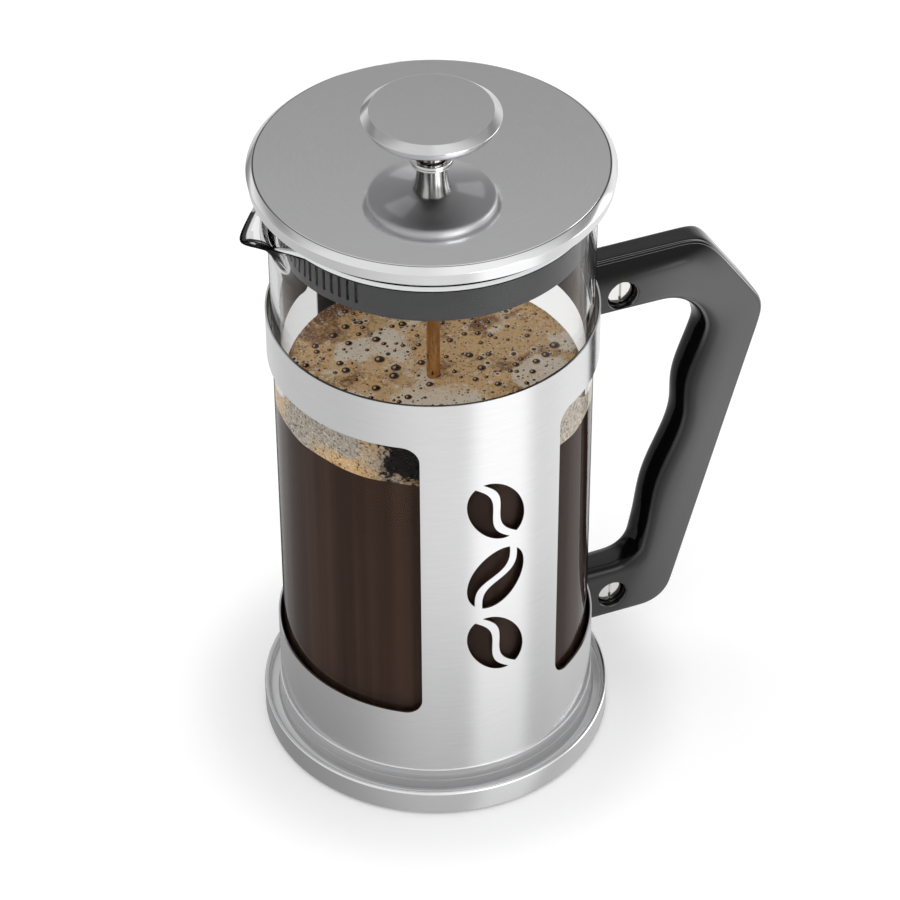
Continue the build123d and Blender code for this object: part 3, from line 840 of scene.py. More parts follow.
def beaker_glass(name, bead_foot, spout_start, spout):
    """Clear glass with painted dark lines that dim it towards its edges, which lets light in to what it
    holds, with a pale rim bead painted as a highlight.
    """
    material, field = new_material(name)
    here = place(field)
    haze = here.noise(*HAZE).rise(HAZE_EDGES)
    glass = principled(
        field,
        base_color=haze.mix(WHITE, HAZE_COLOUR),
        roughness=HAZE_ROUGHNESS * haze,
        ior=GLASS_IOR,
        transmission_weight=1.0,
    )
    # Painted dark reflection and shade: a black shader for the glass's lines
    edge = principled(field, base_color=PAINTED_LINE_COLOUR, roughness=LINE_ROUGHNESS, specular_ior_level=0.0)
    # Painted highlight: the rim bead is pale as if it mirrored white
    pale = principled(field, base_color=BEAD_HIGHLIGHT_COLOUR, roughness=BEAD_ROUGHNESS)
    facing = field.node("ShaderNodeLayerWeight", None, {"Blend": EVEN_BLEND}, "Facing")
    bead = box_light(here.parts()[2], bead_foot + BEAD_RISE, BEAD_HALF, BEAD_SOFT)
    body = painted_glass_lines(field, here, facing, bead, bead_foot, spout_start, spout).blend(glass, edge)
    body = (bead * (1 - facing.rise(BEAD_SIDE_EDGES)) * BEAD_HIGHLIGHT_STRENGTH).blend(body, pale)
    ray = field.node("ShaderNodeLightPath", None, None, "Is Shadow Ray")
    clear = field.node("ShaderNodeBsdfTransparent")
    return finished(material, ray.most(ray.output("Is Diffuse Ray")).blend(body, clear))


REFLECTION_STRETCH = (1.0, 1.0, 0.008)
GLASS_REFLECTIONS = (170.0, 3.0)
REFLECTION_EDGES = (0.36, 0.64)
REFLECTION_SHARE = 0.75
CLOUDS = (40.0, 3.0)
COFFEE_SHADES = (0.7, 1.4)
COFFEE_ROUGHNESS, CLOUD_ROUGHNESS = 0.3, 0.1


def brewed_coffee(name, colour):
    """Dark coffee with faint upright streaks: painted reflections from the glass in front of it."""
    material, field = new_material(name)
    here = place(field)
    # Painted reflection streaks
    glass_reflection_streaks = here.stretched(*REFLECTION_STRETCH).noise(*GLASS_REFLECTIONS).rise(REFLECTION_EDGES)
    clouds = here.noise(*CLOUDS)
    shader = principled(
        field,
        base_color=(REFLECTION_SHARE * glass_reflection_streaks + (1 - REFLECTION_SHARE) * clouds).mix(*shades(colour, COFFEE_SHADES)),
        roughness=COFFEE_ROUGHNESS + CLOUD_ROUGHNESS * clouds,
        specular_ior_level=0.0,
    )
    return finished(material, shader)


CHANCE_SOFT = 0.01
DRAWN_LEAST, DRAWN_RISE = 0.16, 0.24
DRAWN_MIDDLE, DRAWN_RIM = (0.6, 0.85), (0.05, 0.3)


def drawn_bubble_shade_and_highlights(here, scale, part):
    """Painted shade in the middles and painted highlights on the rims of small bubbles, in a part of the
    cells of a scattered pattern.
    """
    distance = here.cells(scale)
    chance = here.node("ShaderNodeSeparateColor", None, {0: distance.output("Color")})
    chosen = chance.step(1 - CHANCE_SOFT - part, 1 + CHANCE_SOFT - part)
    across = distance / (DRAWN_LEAST + DRAWN_RISE * chance.output("Green"))
    middle = 1 - across.rise(DRAWN_MIDDLE)
    rim = 1 - abs(across - 1.0).rise(DRAWN_RIM)
    return chosen * middle, chosen * rim


PALE_PATCHES = (((-5, -13, 0), 20), ((-7, 18, 0), 10), ((-18, 22, 0), 9), ((29, -12, 0), 13))
PATCH_EDGES = (0.3, 1.0)


def pale_patches(flat):
    """Share of the paler patches on the foam, each a middle and a radius in millimetres."""
    patches = []
    for middle, radius in PALE_PATCHES:
        off = flat.vector_maths("DISTANCE", tuple(part * MM for part in middle))
        patches.append(1 - off.rise(PATCH_EDGES, radius * MM))
    return largest(patches)


FOAM_EDGE = (0.62, 1.02)
FOAM_FRONT = (-0.9, 0.1)
FOAM_RIGHT = (0.2, 0.7)
FOAM_DRIFT = (50.0, 5.0, 0.65)
FOAM_CLOTS = (75.0, 4.0, 0.65)
CLOT_FAR, CLOT_FRONT, CLOT_FINE = 0.16, 0.1, 0.2
CREAM_FAR, CREAM_FRONT, CREAM_PATCH, CREAM_FINE = 0.2, 0.06, 0.16, 0.25
CLOT_EDGES, CREAM_EDGES = (0.48, 0.68), (0.55, 0.6)
CLOT_STRENGTH = 0.9
CREAM_STRENGTH, CREAM_RISE, CREAM_RISE_EDGES = 0.75, 0.2, (0.4, 0.7)
PORE_STRENGTH, PORE_EDGES, PORE_FADE = 0.55, (0.52, 0.68), 0.7


def foam_colour(here, fine, radius, finishes):
    """Colour of the foam's top: tan, with dark clots, pale froth and fine pores, darker towards the far
    edge and paler towards the front.
    """
    flat = here.stretched(1.0, 1.0, 0.0)
    across, along, _ = here.parts()
    front = 1 - along.rise(FOAM_FRONT, radius)
    outer = flat.vector_maths("LENGTH").rise(FOAM_EDGE, radius)
    far = outer * (1 - front) * (1 - across.rise(FOAM_RIGHT, radius))
    drift = here.noise(*FOAM_DRIFT)
    clots = here.noise(*FOAM_CLOTS)
    dark = (clots + CLOT_FAR * far - CLOT_FRONT * front + CLOT_FINE * fine.swing()).rise(CLOT_EDGES)
    cream = drift - CREAM_FAR * far + CREAM_FRONT * front + CREAM_PATCH * pale_patches(flat)
    pale = (cream + CREAM_FINE * fine.swing()).rise(CREAM_EDGES)
    brown = opaque(finishes.foam_dark)
    top = (CLOT_STRENGTH * dark).mix(opaque(finishes.foam), brown)
    creamy = CREAM_STRENGTH * pale + CREAM_RISE * pale * drift.rise(CREAM_RISE_EDGES)
    top = creamy.mix(top, opaque(finishes.foam_pale))
    return (PORE_STRENGTH * fine.rise(PORE_EDGES) * (1 - PORE_FADE * pale)).mix(top, brown)


SPECKS = (1000.0, 4.0, 0.75)
DARK_SPECKS, DARK_SPECK_STRENGTH = (0.54, 0.62), 0.9
PALE_SPECKS, PALE_SPECK_STRENGTH = (0.36, 0.44), 0.8
FROTH_CLOUDS, FROTH_EDGES = (38.0, 3.0), (0.4, 0.52)
FROTH_RIGHT, FROTH_LEFT = (0.0, 0.4), (-0.85, -0.5)
LEFT_SHADOW, FROTH_SHADOW, FROTH_SHADE = 0.45, 0.68, 0.5


def clinging_froth(here, radius, finishes):
    """Colour of the froth that clings to the glass, in the shadow of the lid."""
    specks = here.noise(*SPECKS)
    across = here.parts()[0]
    shade = here.noise(*FROTH_CLOUDS).rise(FROTH_EDGES).mix(opaque(finishes.foam), opaque(finishes.froth))
    shade = (DARK_SPECK_STRENGTH * specks.rise(DARK_SPECKS)).mix(shade, opaque(finishes.bubble))
    shade = (PALE_SPECK_STRENGTH * (1 - specks.rise(PALE_SPECKS))).mix(shade, opaque(finishes.foam_pale))
    left = LEFT_SHADOW + (1 - LEFT_SHADOW) * across.rise(FROTH_LEFT, radius)
    shadow = (1 - across.rise(FROTH_RIGHT, radius)) * left
    return (FROTH_SHADOW * shadow).mix(shade, scaled(finishes.bubble, FROTH_SHADE))


FOAM_FINE = (900.0, 2.0)
FOAM_SIDES = (0.1, 0.6)
BUBBLE_LAYERS = ((1500.0, 0.34), (720.0, 0.36), (330.0, 0.28))
RIM_HIGHLIGHT_STRENGTH, MIDDLE_SHADE_STRENGTH, SIDE_FADE = 0.75, 0.92, 0.7
GROUNDS_RAGGED = ((0.012, (700.0, 4.0, 0.7)), (0.016, (150.0,)))
GROUNDS_EDGES = (0.0105, 0.0125)
GROUNDS_SHADE = 0.1
FOAM_ROUGHNESS, WET_GAIN = 0.42, 0.3
FOAM_SPECULAR = 0.12
FINE_HEIGHT = 0.5
FOAM_BUMP = (0.7, 0.5 * MM)


def coffee_foam(name, finishes, grounds, radius):
    """Tan foam with pale froth, dark places, fine bubbles drawn with painted shade and highlights, and one
    patch of coffee grounds.
    """
    material, field = new_material(name)
    here = place(field)
    fine = here.noise(*FOAM_FINE)
    side = 1 - facing_up(field).rise(FOAM_SIDES)
    base = side.mix(foam_colour(here, fine, radius, finishes), clinging_froth(here, radius, finishes))
    middles = []
    for scale, part in BUBBLE_LAYERS:
        middle, rim = drawn_bubble_shade_and_highlights(here, scale, part)
        # Painted highlights on the bubbles' rims and painted shade in their middles
        base = (RIM_HIGHLIGHT_STRENGTH * rim * (1 - side)).mix(base, opaque(finishes.foam_pale))
        base = (MIDDLE_SHADE_STRENGTH * middle * (1 - SIDE_FADE * side)).mix(base, opaque(finishes.bubble))
        middles.append(middle)
    pits = largest(middles)
    coarse, broad = (share * here.noise(*pattern).swing() for share, pattern in GROUNDS_RAGGED)
    away = here.vector_maths("DISTANCE", grounds) + (coarse + broad)
    base = (1 - away.rise(GROUNDS_EDGES)).mix(base, scaled(finishes.bubble, GROUNDS_SHADE))
    shader = principled(
        field,
        base_color=base,
        roughness=FOAM_ROUGHNESS - WET_GAIN * pits,
        specular_ior_level=FOAM_SPECULAR,
        normal=(FINE_HEIGHT * fine + pits).bump(*FOAM_BUMP),
    )
    return finished(material, shader)


FILM = (300.0, 2.0)
FILM_SHADES = (0.3, 1.5)
FILM_ROUGHNESS, FILM_SPREAD = 0.05, 0.08
BUBBLE_SPECULAR = 0.3
BUBBLE_TOP = (0.35, 0.75)
GLINT_WAY, GLINT_EDGES, GLINT_STRENGTH = (-0.32, -0.12, 0.94), (0.955, 0.985), 0.8


def bubble_skin(name, colour, rim):
    """Wet skin of a bubble, painted dark on top and pale round its foot for how light falls on it, and with
    a painted glint.
    """
    material, field = new_material(name)
    film = place(field).noise(*FILM)
    shade = facing_up(field).rise(BUBBLE_TOP).mix(opaque(rim), film.mix(*shades(colour, FILM_SHADES)))
    # Painted glint where the normal faces one fixed way
    glint = facing_to(field, GLINT_WAY).rise(GLINT_EDGES)
    shader = principled(
        field,
        base_color=(GLINT_STRENGTH * glint).mix(shade, opaque(rim)),
        roughness=FILM_ROUGHNESS + FILM_SPREAD * film,
        specular_ior_level=BUBBLE_SPECULAR,
    )
    return finished(material, shader)


WIRE_EDGES = (-0.2, 0.9)
WIRE_SHADES = (0.15, 1.0)
GAP_ROUGHNESS, WIRE_GAIN = 0.5, 0.25
WIRE_BUMP = (0.6, 0.1 * MM)


def wire_mesh(name, colour, pitch):
    """Woven wire, as crossing waves that show as height and shade."""
    material, field = new_material(name)
    warp, weft = (field.maths("SINE", way * (FULL_TURN / pitch)) for way in place(field).parts()[:2])
    wires = warp.most(weft).rise(WIRE_EDGES)
    shader = principled(
        field,
        base_color=wires.mix(*shades(colour, WIRE_SHADES)),
        metallic=1.0,
        roughness=GAP_ROUGHNESS - WIRE_GAIN * wires,
        normal=wires.bump(*WIRE_BUMP),
    )
    return finished(material, shader)


# Which finish a piece has, and how rough it is


def finish(name, make, *details, **options):
    """A finish by its name, made the first time that it is asked for."""
    return bpy.data.materials.get(name) or make(name, *details, **options)


def sleeve_wall():
    """Outer radius of the sleeve."""
    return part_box("frame_sleeve")[1].x


def rod_radius():
    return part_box("plunger_rod")[1].x


def sleeve_finish(press):
    colours = press.finishes.sleeve_steel, press.finishes.sleeve_inside_shade
    return finish("polished_sleeve_steel", sleeve_sheet, *colours, sleeve_wall())


BASE_POLISH = {"roughness": 0.2, "spread": 0.05, "streak": 2.5, "anisotropy": 0.3}
DARK_LINE_OFFSET = 0.3 * MM


def base_finish(press):
    wall, base = sleeve_wall(), press.base
    ledge = (base.low_collar_wall + base.high_collar_wall) / 2
    lines = (wall + ledge, wall + base.low_collar_wall + DARK_LINE_OFFSET)
    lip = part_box("base_ring")[1].x - base.lip_width
    details = {"lines": lines, "satin": lip, **BASE_POLISH}
    return finish("turned_base_steel", steel, press.finishes.base_steel, **details)


LID_POLISH = {"roughness": 0.085, "spread": 0.03, "streak": 1.5}
# The knob's sloped faces get painted shade
KNOB_SLOPE_SHADE = 0.8


def lid_finish(press):
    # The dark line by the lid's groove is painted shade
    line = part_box("lid_cover")[1].x - press.lid.bead_width - press.lid.groove / 2
    return finish("polished_lid_steel", steel, press.finishes.lid_steel, lines=(line,), **LID_POLISH)


def knob_finish(press):
    return finish("polished_knob_steel", steel, press.finishes.lid_steel, slope=KNOB_SLOPE_SHADE, **LID_POLISH)


def under_knob_finish(press):
    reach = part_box("knob_base")[1].x
    return finish("turned_knob_steel", wedge_highlight_steel, press.finishes.lid_steel, roughness=0.3, reach=reach)


def neck_finish(press):
    return finish("streaked_neck_steel", reflection_streaked_steel, press.finishes.rod_steel, roughness=0.08)


def rod_finish(press):
    return finish("polished_rod_steel", plain_steel, press.finishes.rod_steel, roughness=0.07)


def rod_film_and_reflection_finish(press):
    colours = press.finishes.rod_steel, press.finishes.coffee_film_and_reflection
    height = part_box("lid_collar")[0].z
    return finish("stained_rod_steel", film_and_reflection_steel, *colours, roughness=0.09, height=height)


def filter_finish(press):
    return finish("filter_steel", plain_steel, press.finishes.filter_steel, roughness=0.3)


def fitting_finish(press):
    return finish("fitting_steel", plain_steel, press.finishes.filter_steel, roughness=0.35)


def handle_finish(press):
    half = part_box("handle")[1].y
    elbow, heel = handle_corners(press.handle)[1:]
    return finish("satin_handle_plastic", handle_plastic, press.finishes.handle_plastic, half, elbow, heel)


def collar_finish(press):
    return finish("satin_collar_plastic", moulded_plastic, press.finishes.collar_plastic, roughness=0.42)


def glass_finish(press):
    low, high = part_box("glass_beaker")
    bead_foot = high.z - press.beaker.bead_height
    spout = (-low.x - high.y, press.beaker.spout_drop, high.z)
    return finish("clear_glass", beaker_glass, bead_foot, high.y, spout)


# Modelling tools


def close(bm):
    """Merges what touches, and turns the faces outwards."""
    bmesh.ops.remove_doubles(bm, verts=bm.verts[:], dist=TOUCH)
    bmesh.ops.recalc_face_normals(bm, faces=bm.faces[:])
    return bm


def open_edges(bm):
    return [edge for edge in bm.edges if edge.is_boundary]


def bevelled(bm, geometry, reach, cuts, kind="EDGES", clamp=False):
    """Rounds edges or corners of a shape."""
    bmesh.ops.bevel(
        bm,
        geom=geometry,
        offset=reach,
        offset_type="OFFSET",
        segments=cuts,
        profile=0.5,
        affect=kind,
        clamp_overlap=clamp,
        material=-1,
    )


def spun(bm, turn, steps, merge=False):
    """Sweeps the points and edges of a shape about the press's axis."""
    bmesh.ops.spin(
        bm,
        geom=bm.verts[:] + bm.edges[:],
        cent=(0, 0, 0),
        axis=(0, 0, 1),
        angle=turn,
        steps=steps,
        use_merge=merge,
    )


def outlined(points, rounds=None):
    """One face in the XZ plane, with the corners in rounds cut by an arc of that reach."""
    bm = bmesh.new()
    corners = [bm.verts.new((across, 0, up)) for across, up in points]
    bm.faces.new(corners)
    for corner, reach in (rounds or {}).items():
        bevelled(bm, [corners[corner]], reach, ROUND_CUTS, "VERTICES")
    return bm


def turned(points, rounds=None, steps=FINE_TURN):
    """Shell turned about the press's axis from the corners of its section."""
    bm = outlined(points, rounds)
    bmesh.ops.delete(bm, geom=bm.faces[:], context="FACES_ONLY")
    middle = [edge for edge in bm.edges if all(abs(vert.co.x) < TOUCH for vert in edge.verts)]
    bmesh.ops.delete(bm, geom=middle, context="EDGES")
    spun(bm, FULL_TURN, steps, merge=True)
    return close(bm)


def thickened(bm, move):
    """Solid swept by a flat face along a straight move."""
    swept = bmesh.ops.extrude_face_region(bm, geom=bm.faces[:], use_keep_orig=True)
    verts = [item for item in swept["geom"] if isinstance(item, bmesh.types.BMVert)]
    bmesh.ops.translate(bm, verts=verts, vec=move)
    return close(bm)


def moved(bm, matrix):
    bmesh.ops.transform(bm, matrix=matrix, verts=bm.verts[:])
    return bm


def poured(bm, *others):
    """Adds the meshes of other shapes to the first one."""
    for other in others:
        mesh = bpy.data.meshes.new("poured")
        other.to_mesh(mesh)
        other.free()
        bm.from_mesh(mesh)
        bpy.data.meshes.remove(mesh)
    return bm


def scratch_object(bm):
    mesh = bpy.data.meshes.new("scratch")
    bm.to_mesh(mesh)
    bm.free()
    item = bpy.data.objects.new("scratch", mesh)
    bpy.context.scene.collection.objects.link(item)
    return item


def modified(bm, kind, **settings):
    """The shape after one modifier has been applied to it."""
    work = scratch_object(bm)
    modifier = work.modifiers.new(kind.title(), kind)
    for name, value in settings.items():
        setattr(modifier, name, value)
    graph = bpy.context.evaluated_depsgraph_get()
    result = bmesh.new()
    result.from_mesh(work.evaluated_get(graph).to_mesh())
    bpy.data.meshes.remove(work.data)
    return result


def carved(bm, cutter):
    """The shape with a cutter's shape taken out of it."""
    tool = scratch_object(cutter)
    result = modified(bm, "BOOLEAN", object=tool, operation="DIFFERENCE", solver="EXACT")
    bpy.data.meshes.remove(tool.data)
    return result


def block(low, high):
    """Box between two corners."""
    bm = bmesh.new()
    low, high = Vector(low), Vector(high)
    size = Matrix.Diagonal(high - low).to_4x4()
    bmesh.ops.create_cube(bm, size=1, matrix=Matrix.Translation((low + high) / 2) @ size)
    return bm


def even_out(mesh):
    """Gives level faces, and faces on a cylinder about the press's axis, their true normals."""
    normals = [corner.vector.copy() for corner in mesh.corner_normals]
    for face in mesh.polygons:
        outward = Vector((face.center.x, face.center.y, 0)).normalized()
        side = face.normal.dot(outward)
        for corner in face.loop_indices:
            spot = mesh.vertices[mesh.loops[corner].vertex_index].co
            if abs(face.normal.z) > NEARLY:
                normals[corner] = face.normal
            elif abs(side) > NEARLY:
                normals[corner] = Vector((spot.x, spot.y, 0)).normalized() * math.copysign(1, side)
    mesh.normals_split_custom_set(normals)


def show(name, bm, material, *nodes, body=None, sharp=SHARP, sheet=False):
    """Makes a piece of a shape, riding on the body of the nodes that it stands for."""
    mesh = bpy.data.meshes.new(name)
    bm.to_mesh(mesh)
    bm.free()
    mesh.shade_smooth()
    mesh.set_sharp_from_angle(angle=sharp)
    if sheet:
        even_out(mesh)
    mesh.materials.append(material)
    item = bpy.data.objects.new(name, mesh)
    bpy.context.scene.collection.objects.link(item)
    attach(item, body or BODY_OF[nodes[0]])
    if nodes:
        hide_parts(*nodes)
    return item


def dress(material, *nodes):
    """Gives a finish to CAD nodes that stay as they are."""
    for node in nodes:
        mesh = frame["nodes"][node].data
        mesh.materials.clear()
        mesh.materials.append(material)


# Base and sleeve


def base_shape(base):
    low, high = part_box("base_ring")
    wall = sleeve_wall()
    lip_top = low.z + base.height
    dish = lip_top - base.dish_depth
    skin = high.x - base.sheet
    lip = high.x - base.lip_width
    points = [
        (base.hole_radius, dish - base.sheet),
        (skin, dish - base.sheet),
        (skin, low.z),
        (high.x, low.z),
        (high.x, lip_top),
        (lip, lip_top),
        (lip, dish),
        (wall + base.low_collar_wall, dish),
        (wall + base.low_collar_wall, dish + base.low_collar_height),
        (wall + base.high_collar_wall, dish + base.low_collar_height),
        (wall + base.high_collar_wall, high.z),
        (wall, high.z),
        (wall, dish),
        (base.hole_radius, dish),
    ]
    rolled = base.lip_width * 0.48
    small = base.low_collar_wall * 0.2
    rounds = {3: small, 4: rolled, 5: rolled, 6: rolled, 7: rolled, 8: small, 10: small / 2}
    return turned(points, rounds)


WINDOW_STEPS = 11
WINDOW_CLEAR = 4
SAME_TURN = 0.001


def at_turn(vert, turn):
    """Whether a point lies at a turn to either side of the handle."""
    return abs(abs(math.atan2(vert.co.y, vert.co.x)) - turn) < SAME_TURN


def window_cutter(sleeve, low, high):
    """Sector between the panels, with rounded corners, on the handle's side."""
    bottom, top = low.z + sleeve.bottom_band, high.z - sleeve.top_band
    inner, outer = high.x - WINDOW_CLEAR * sleeve.sheet, high.x + WINDOW_CLEAR * sleeve.sheet
    half = math.pi / 2 - sleeve.panel_width / 2 / high.x
    bm = outlined([(inner, bottom), (outer, bottom), (outer, top), (inner, top)])
    bmesh.ops.delete(bm, geom=bm.faces[:], context="FACES_ONLY")
    bmesh.ops.rotate(bm, verts=bm.verts[:], cent=(0, 0, 0), matrix=Matrix.Rotation(-half, 3, "Z"))
    spun(bm, 2 * half, WINDOW_STEPS)
    bmesh.ops.holes_fill(bm, edges=open_edges(bm), sides=0)
    close(bm)
    level = [edge for edge in bm.edges if abs(edge.verts[0].co.z - edge.verts[1].co.z) < TOUCH]
    corners = [edge for edge in level if all(at_turn(vert, half) for vert in edge.verts)]
    bevelled(bm, corners, sleeve.window_corner, 2 * ROUND_CUTS)
    return close(bm)


BEAN_STEPS = 64
BRIDGE_STEPS = 24
BRIDGE_REACH = 1.15
BRIDGE_LEAD = 0.1
PANEL_REACH = 1.2


def bean_cutter(sleeve, low, high):
    """Column of beans, each split by a waved bridge, reaching through both panels."""
    middle = (low.z + sleeve.bottom_band + high.z - sleeve.top_band) / 2
    reach = high.x * PANEL_REACH
    half = sleeve.bean_length / 2
    beans, bridges = bmesh.new(), bmesh.new()
    for bean in range(sleeve.bean_count):
        height = middle + (bean - (sleeve.bean_count - 1) / 2) * sleeve.bean_pitch
        lean = Matrix.Rotation(sleeve.bean_tilt * (-1) ** (bean + 1), 4, "Y")
        spot = Matrix.Translation((0, -reach, height)) @ lean
        oval = bmesh.new()
        bmesh.ops.create_circle(oval, cap_ends=True, radius=1, segments=BEAN_STEPS)
        upright = Matrix.Rotation(math.pi / 2, 4, "X")
        moved(oval, spot @ upright @ Matrix.Diagonal((sleeve.bean_width / 2, half, 1, 1)))
        poured(beans, thickened(oval, (0, 2 * reach, 0)))
        steps = range(BRIDGE_STEPS + 1)
        heights = [half * (BRIDGE_REACH - 2 * BRIDGE_REACH * step / BRIDGE_STEPS) for step in steps]
        wave = [(sleeve.crease_swing * math.sin(math.pi * up / half), up) for up in heights]
        left = [(swing - sleeve.crease_width / 2, up) for swing, up in wave]
        right = [(swing + sleeve.crease_width / 2, up) for swing, up in wave]
        ribbon = moved(outlined(left + right[::-1]), Matrix.Translation((0, -reach * BRIDGE_LEAD, 0)))
        poured(bridges, thickened(moved(ribbon, spot), (0, 2 * (1 + BRIDGE_LEAD) * reach, 0)))
    return carved(beans, bridges)


EDGE_BREAK_CUTS = 2


def sleeve_shape(sleeve):
    low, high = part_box("frame_sleeve")
    inner = high.x - sleeve.sheet
    hem = high.x - sleeve.hem_width
    points = [
        (hem, low.z),
        (high.x, low.z),
        (high.x, high.z),
        (inner, high.z),
        (inner, low.z + sleeve.sheet),
        (hem, low.z + sleeve.sheet),
    ]
    bm = turned(points, {1: sleeve.sheet / 2})
    window = window_cutter(sleeve, low, high)
    other = moved(window.copy(), Matrix.Rotation(math.pi, 4, "Z"))
    bm = carved(bm, poured(window, other))
    bm = carved(bm, bean_cutter(sleeve, low, high))
    close(bm)
    edges = [edge for edge in bm.edges if edge.is_manifold and edge.calc_face_angle() > CUT_EDGE]
    bevelled(bm, edges, sleeve.edge_break, EDGE_BREAK_CUTS, clamp=True)
    return bm


# Handle and its screws


def corner_arc(before, corner, after, radius):
    """Points of the arc that rounds the corner of two straight edges."""
    way_in, way_out = (corner - before).normalized(), (after - corner).normalized()
    half = way_in.angle(way_out) / 2
    centre = corner + (way_out - way_in).normalized() * radius / math.cos(half)
    first = corner - way_in * radius * math.tan(half) - centre
    last = corner + way_out * radius * math.tan(half) - centre
    cuts = 2 * ROUND_CUTS
    return [centre + first.slerp(last, cut / cuts) * radius for cut in range(cuts + 1)]


def finger_side(handle, elbow, heel, top, bottom):
    """Waved path of the grip's finger side, measured from its straight outer edge."""
    hollow = (top + bottom) / 2 + handle.hollow_rise
    crests = [
        (top, handle.bay_depth),
        ((top + hollow) / 2, handle.upper_bump),
        (hollow, 0),
        ((hollow + bottom) / 2, handle.lower_bump),
        (bottom, 0),
    ]
    path = []
    for (height, depth), (next_height, next_depth) in zip(crests, crests[1:]):
        for cut in range(ROUND_CUTS + 1):
            part = cut / ROUND_CUTS
            level = height + (next_height - height) * part
            swell = depth + (next_depth - depth) * (1 - math.cos(math.pi * part)) / 2
            edge = elbow.lerp(heel, (elbow.z - level) / (elbow.z - heel.z))
            path.append(Vector((edge.x - handle.grip_depth - swell, 0, level)))
    return path


def spaced(path, count):
    """Evenly spaced points along a path, from its first point to its last."""
    marks = [0.0]
    for first, second in zip(path, path[1:]):
        marks.append(marks[-1] + (second - first).length)
    points = []
    for step in range(count + 1):
        goal = marks[-1] * step / count
        begun = [index for index in range(len(path) - 1) if marks[index] <= goal]
        leg = max(index for index in begun if marks[index] < marks[-1])
        span = max(marks[leg + 1] - marks[leg], TOUCH)
        points.append(path[leg].lerp(path[leg + 1], (goal - marks[leg]) / span))
    return points


def handle_corners(handle):
    """Shoulder, elbow and heel of the handle's outer line."""
    wall = sleeve_wall()
    low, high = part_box("handle")
    shoulder = Vector((wall + handle.shoulder_reach, 0, high.z))
    elbow = Vector((wall + handle.elbow_reach, 0, high.z - handle.elbow_drop))
    return shoulder, elbow, Vector((wall + handle.heel_reach, 0, low.z))


END_LIP = 6


def handle_legs(handle):
    """Legs of the handle from the sleeve round to the sleeve again.

    Each leg has its outer path, its finger-side path, its count of sections,
    and the shares at its two ends of the topmost strip and of the round finger side.
    """
    wall = sleeve_wall()
    low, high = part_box("handle")
    ceiling, floor = high.z - handle.upper_arm, low.z + handle.lower_arm
    upper_root, lower_root = Vector((wall, 0, high.z)), Vector((wall, 0, low.z))
    upper_foot, lower_foot = Vector((wall, 0, ceiling)), Vector((wall, 0, floor))
    shoulder, elbow, heel = handle_corners(handle)
    fingers = finger_side(handle, elbow, heel, ceiling - handle.upper_bay, floor + handle.lower_bay)
    upper_corner = Vector((fingers[0].x, 0, ceiling))
    lower_corner = Vector((fingers[-1].x, 0, floor))
    upper_bay = corner_arc(upper_foot, upper_corner, fingers[0], handle.upper_bay)
    lower_bay = corner_arc(fingers[-1], lower_corner, lower_foot, handle.lower_bay)
    shoulder_arc = corner_arc(upper_root, shoulder, elbow, handle.shoulder_rounding)
    elbow_arc = corner_arc(shoulder, elbow, heel, handle.elbow_rounding)
    heel_arc = corner_arc(elbow, heel, lower_root, handle.heel_rounding)
    lip = Vector((END_LIP * handle.end_gap, 0, 0))
    return [
        ([upper_root, upper_root + lip], [upper_foot, upper_foot + lip], 1, (1, 1), (0, 0)),
        ([upper_root + lip, shoulder_arc[0]], [upper_foot + lip, upper_bay[0]], 5, (1, 1), (0, 0)),
        (shoulder_arc + elbow_arc, upper_bay, 11, (1, -2), (0, 1)),
        ([elbow_arc[-1], heel_arc[0]], fingers, 15, (0, 0), (1, 1)),
        (heel_arc, lower_bay, 6, (0, 0), (1, 0.9)),
        ([heel_arc[-1], lower_root + lip], [lower_bay[-1], lower_foot + lip], 4, (0, 0), (0.9, 0.9)),
        ([lower_root + lip, lower_root], [lower_foot + lip, lower_foot], 1, (0, 0), (0.9, 0.9)),
    ]


def strip_edge(handle, half):
    """Outer half section with a strip, a ledge and a cove, as depths and half widths."""
    strip, ledge, step, cove = handle.strip_half, handle.ledge_half, handle.strip_height, handle.cove_depth
    return [
        (0, 0),
        (0, 0.74 * strip),
        (0.25 * step, strip),
        (1.1 * step, strip + 0.03 * step),
        (1.2 * step, ledge - 0.1 * step),
        (1.8 * step, ledge + 0.05 * step),
        (0.42 * cove, ledge + 0.12 * (half - ledge)),
        (0.74 * cove, ledge + 0.45 * (half - ledge)),
        (cove, half),
    ]


ROLLED_EDGE = ((0, 1.8), (0.05, 0.9), (0.3, 0.3), (0.9, 0.05), (1.8, 0))
PLAIN_SIDE = (0.5, 0.8, 1.1)


def plain_edge(handle, half):
    """Outer half section with a plain rolled edge."""
    edge = [(depth * handle.edge, half - inset * handle.edge) for depth, inset in ROLLED_EDGE]
    return [(0, 0), *edge, *((depth * half, half) for depth in PLAIN_SIDE)]


def mixed(first, second, part):
    """Points between two rows of points."""
    return [(a + (c - a) * part, b + (d - b) * part) for (a, b), (c, d) in zip(first, second)]


FLAT_UNDERSIDE = ((0.8, 1), (0.45, 1), (0.24, 0.985), (0.08, 0.91), (0.01, 0.78), (0, 0))
ROUND_UNDERSIDE = ((1.25, 1), (0.78, 0.96), (0.4, 0.83), (0.19, 0.65), (0.05, 0.4), (0, 0))


def handle_section(handle, half, depth, strip, finger):
    """Half section from the outer edge to the finger side, as depths and half widths."""
    outer = mixed(plain_edge(handle, half), strip_edge(handle, half), strip)
    under = mixed(FLAT_UNDERSIDE, ROUND_UNDERSIDE, finger)
    inner = [(depth - rise * half, width * half) for rise, width in under]
    return outer + inner


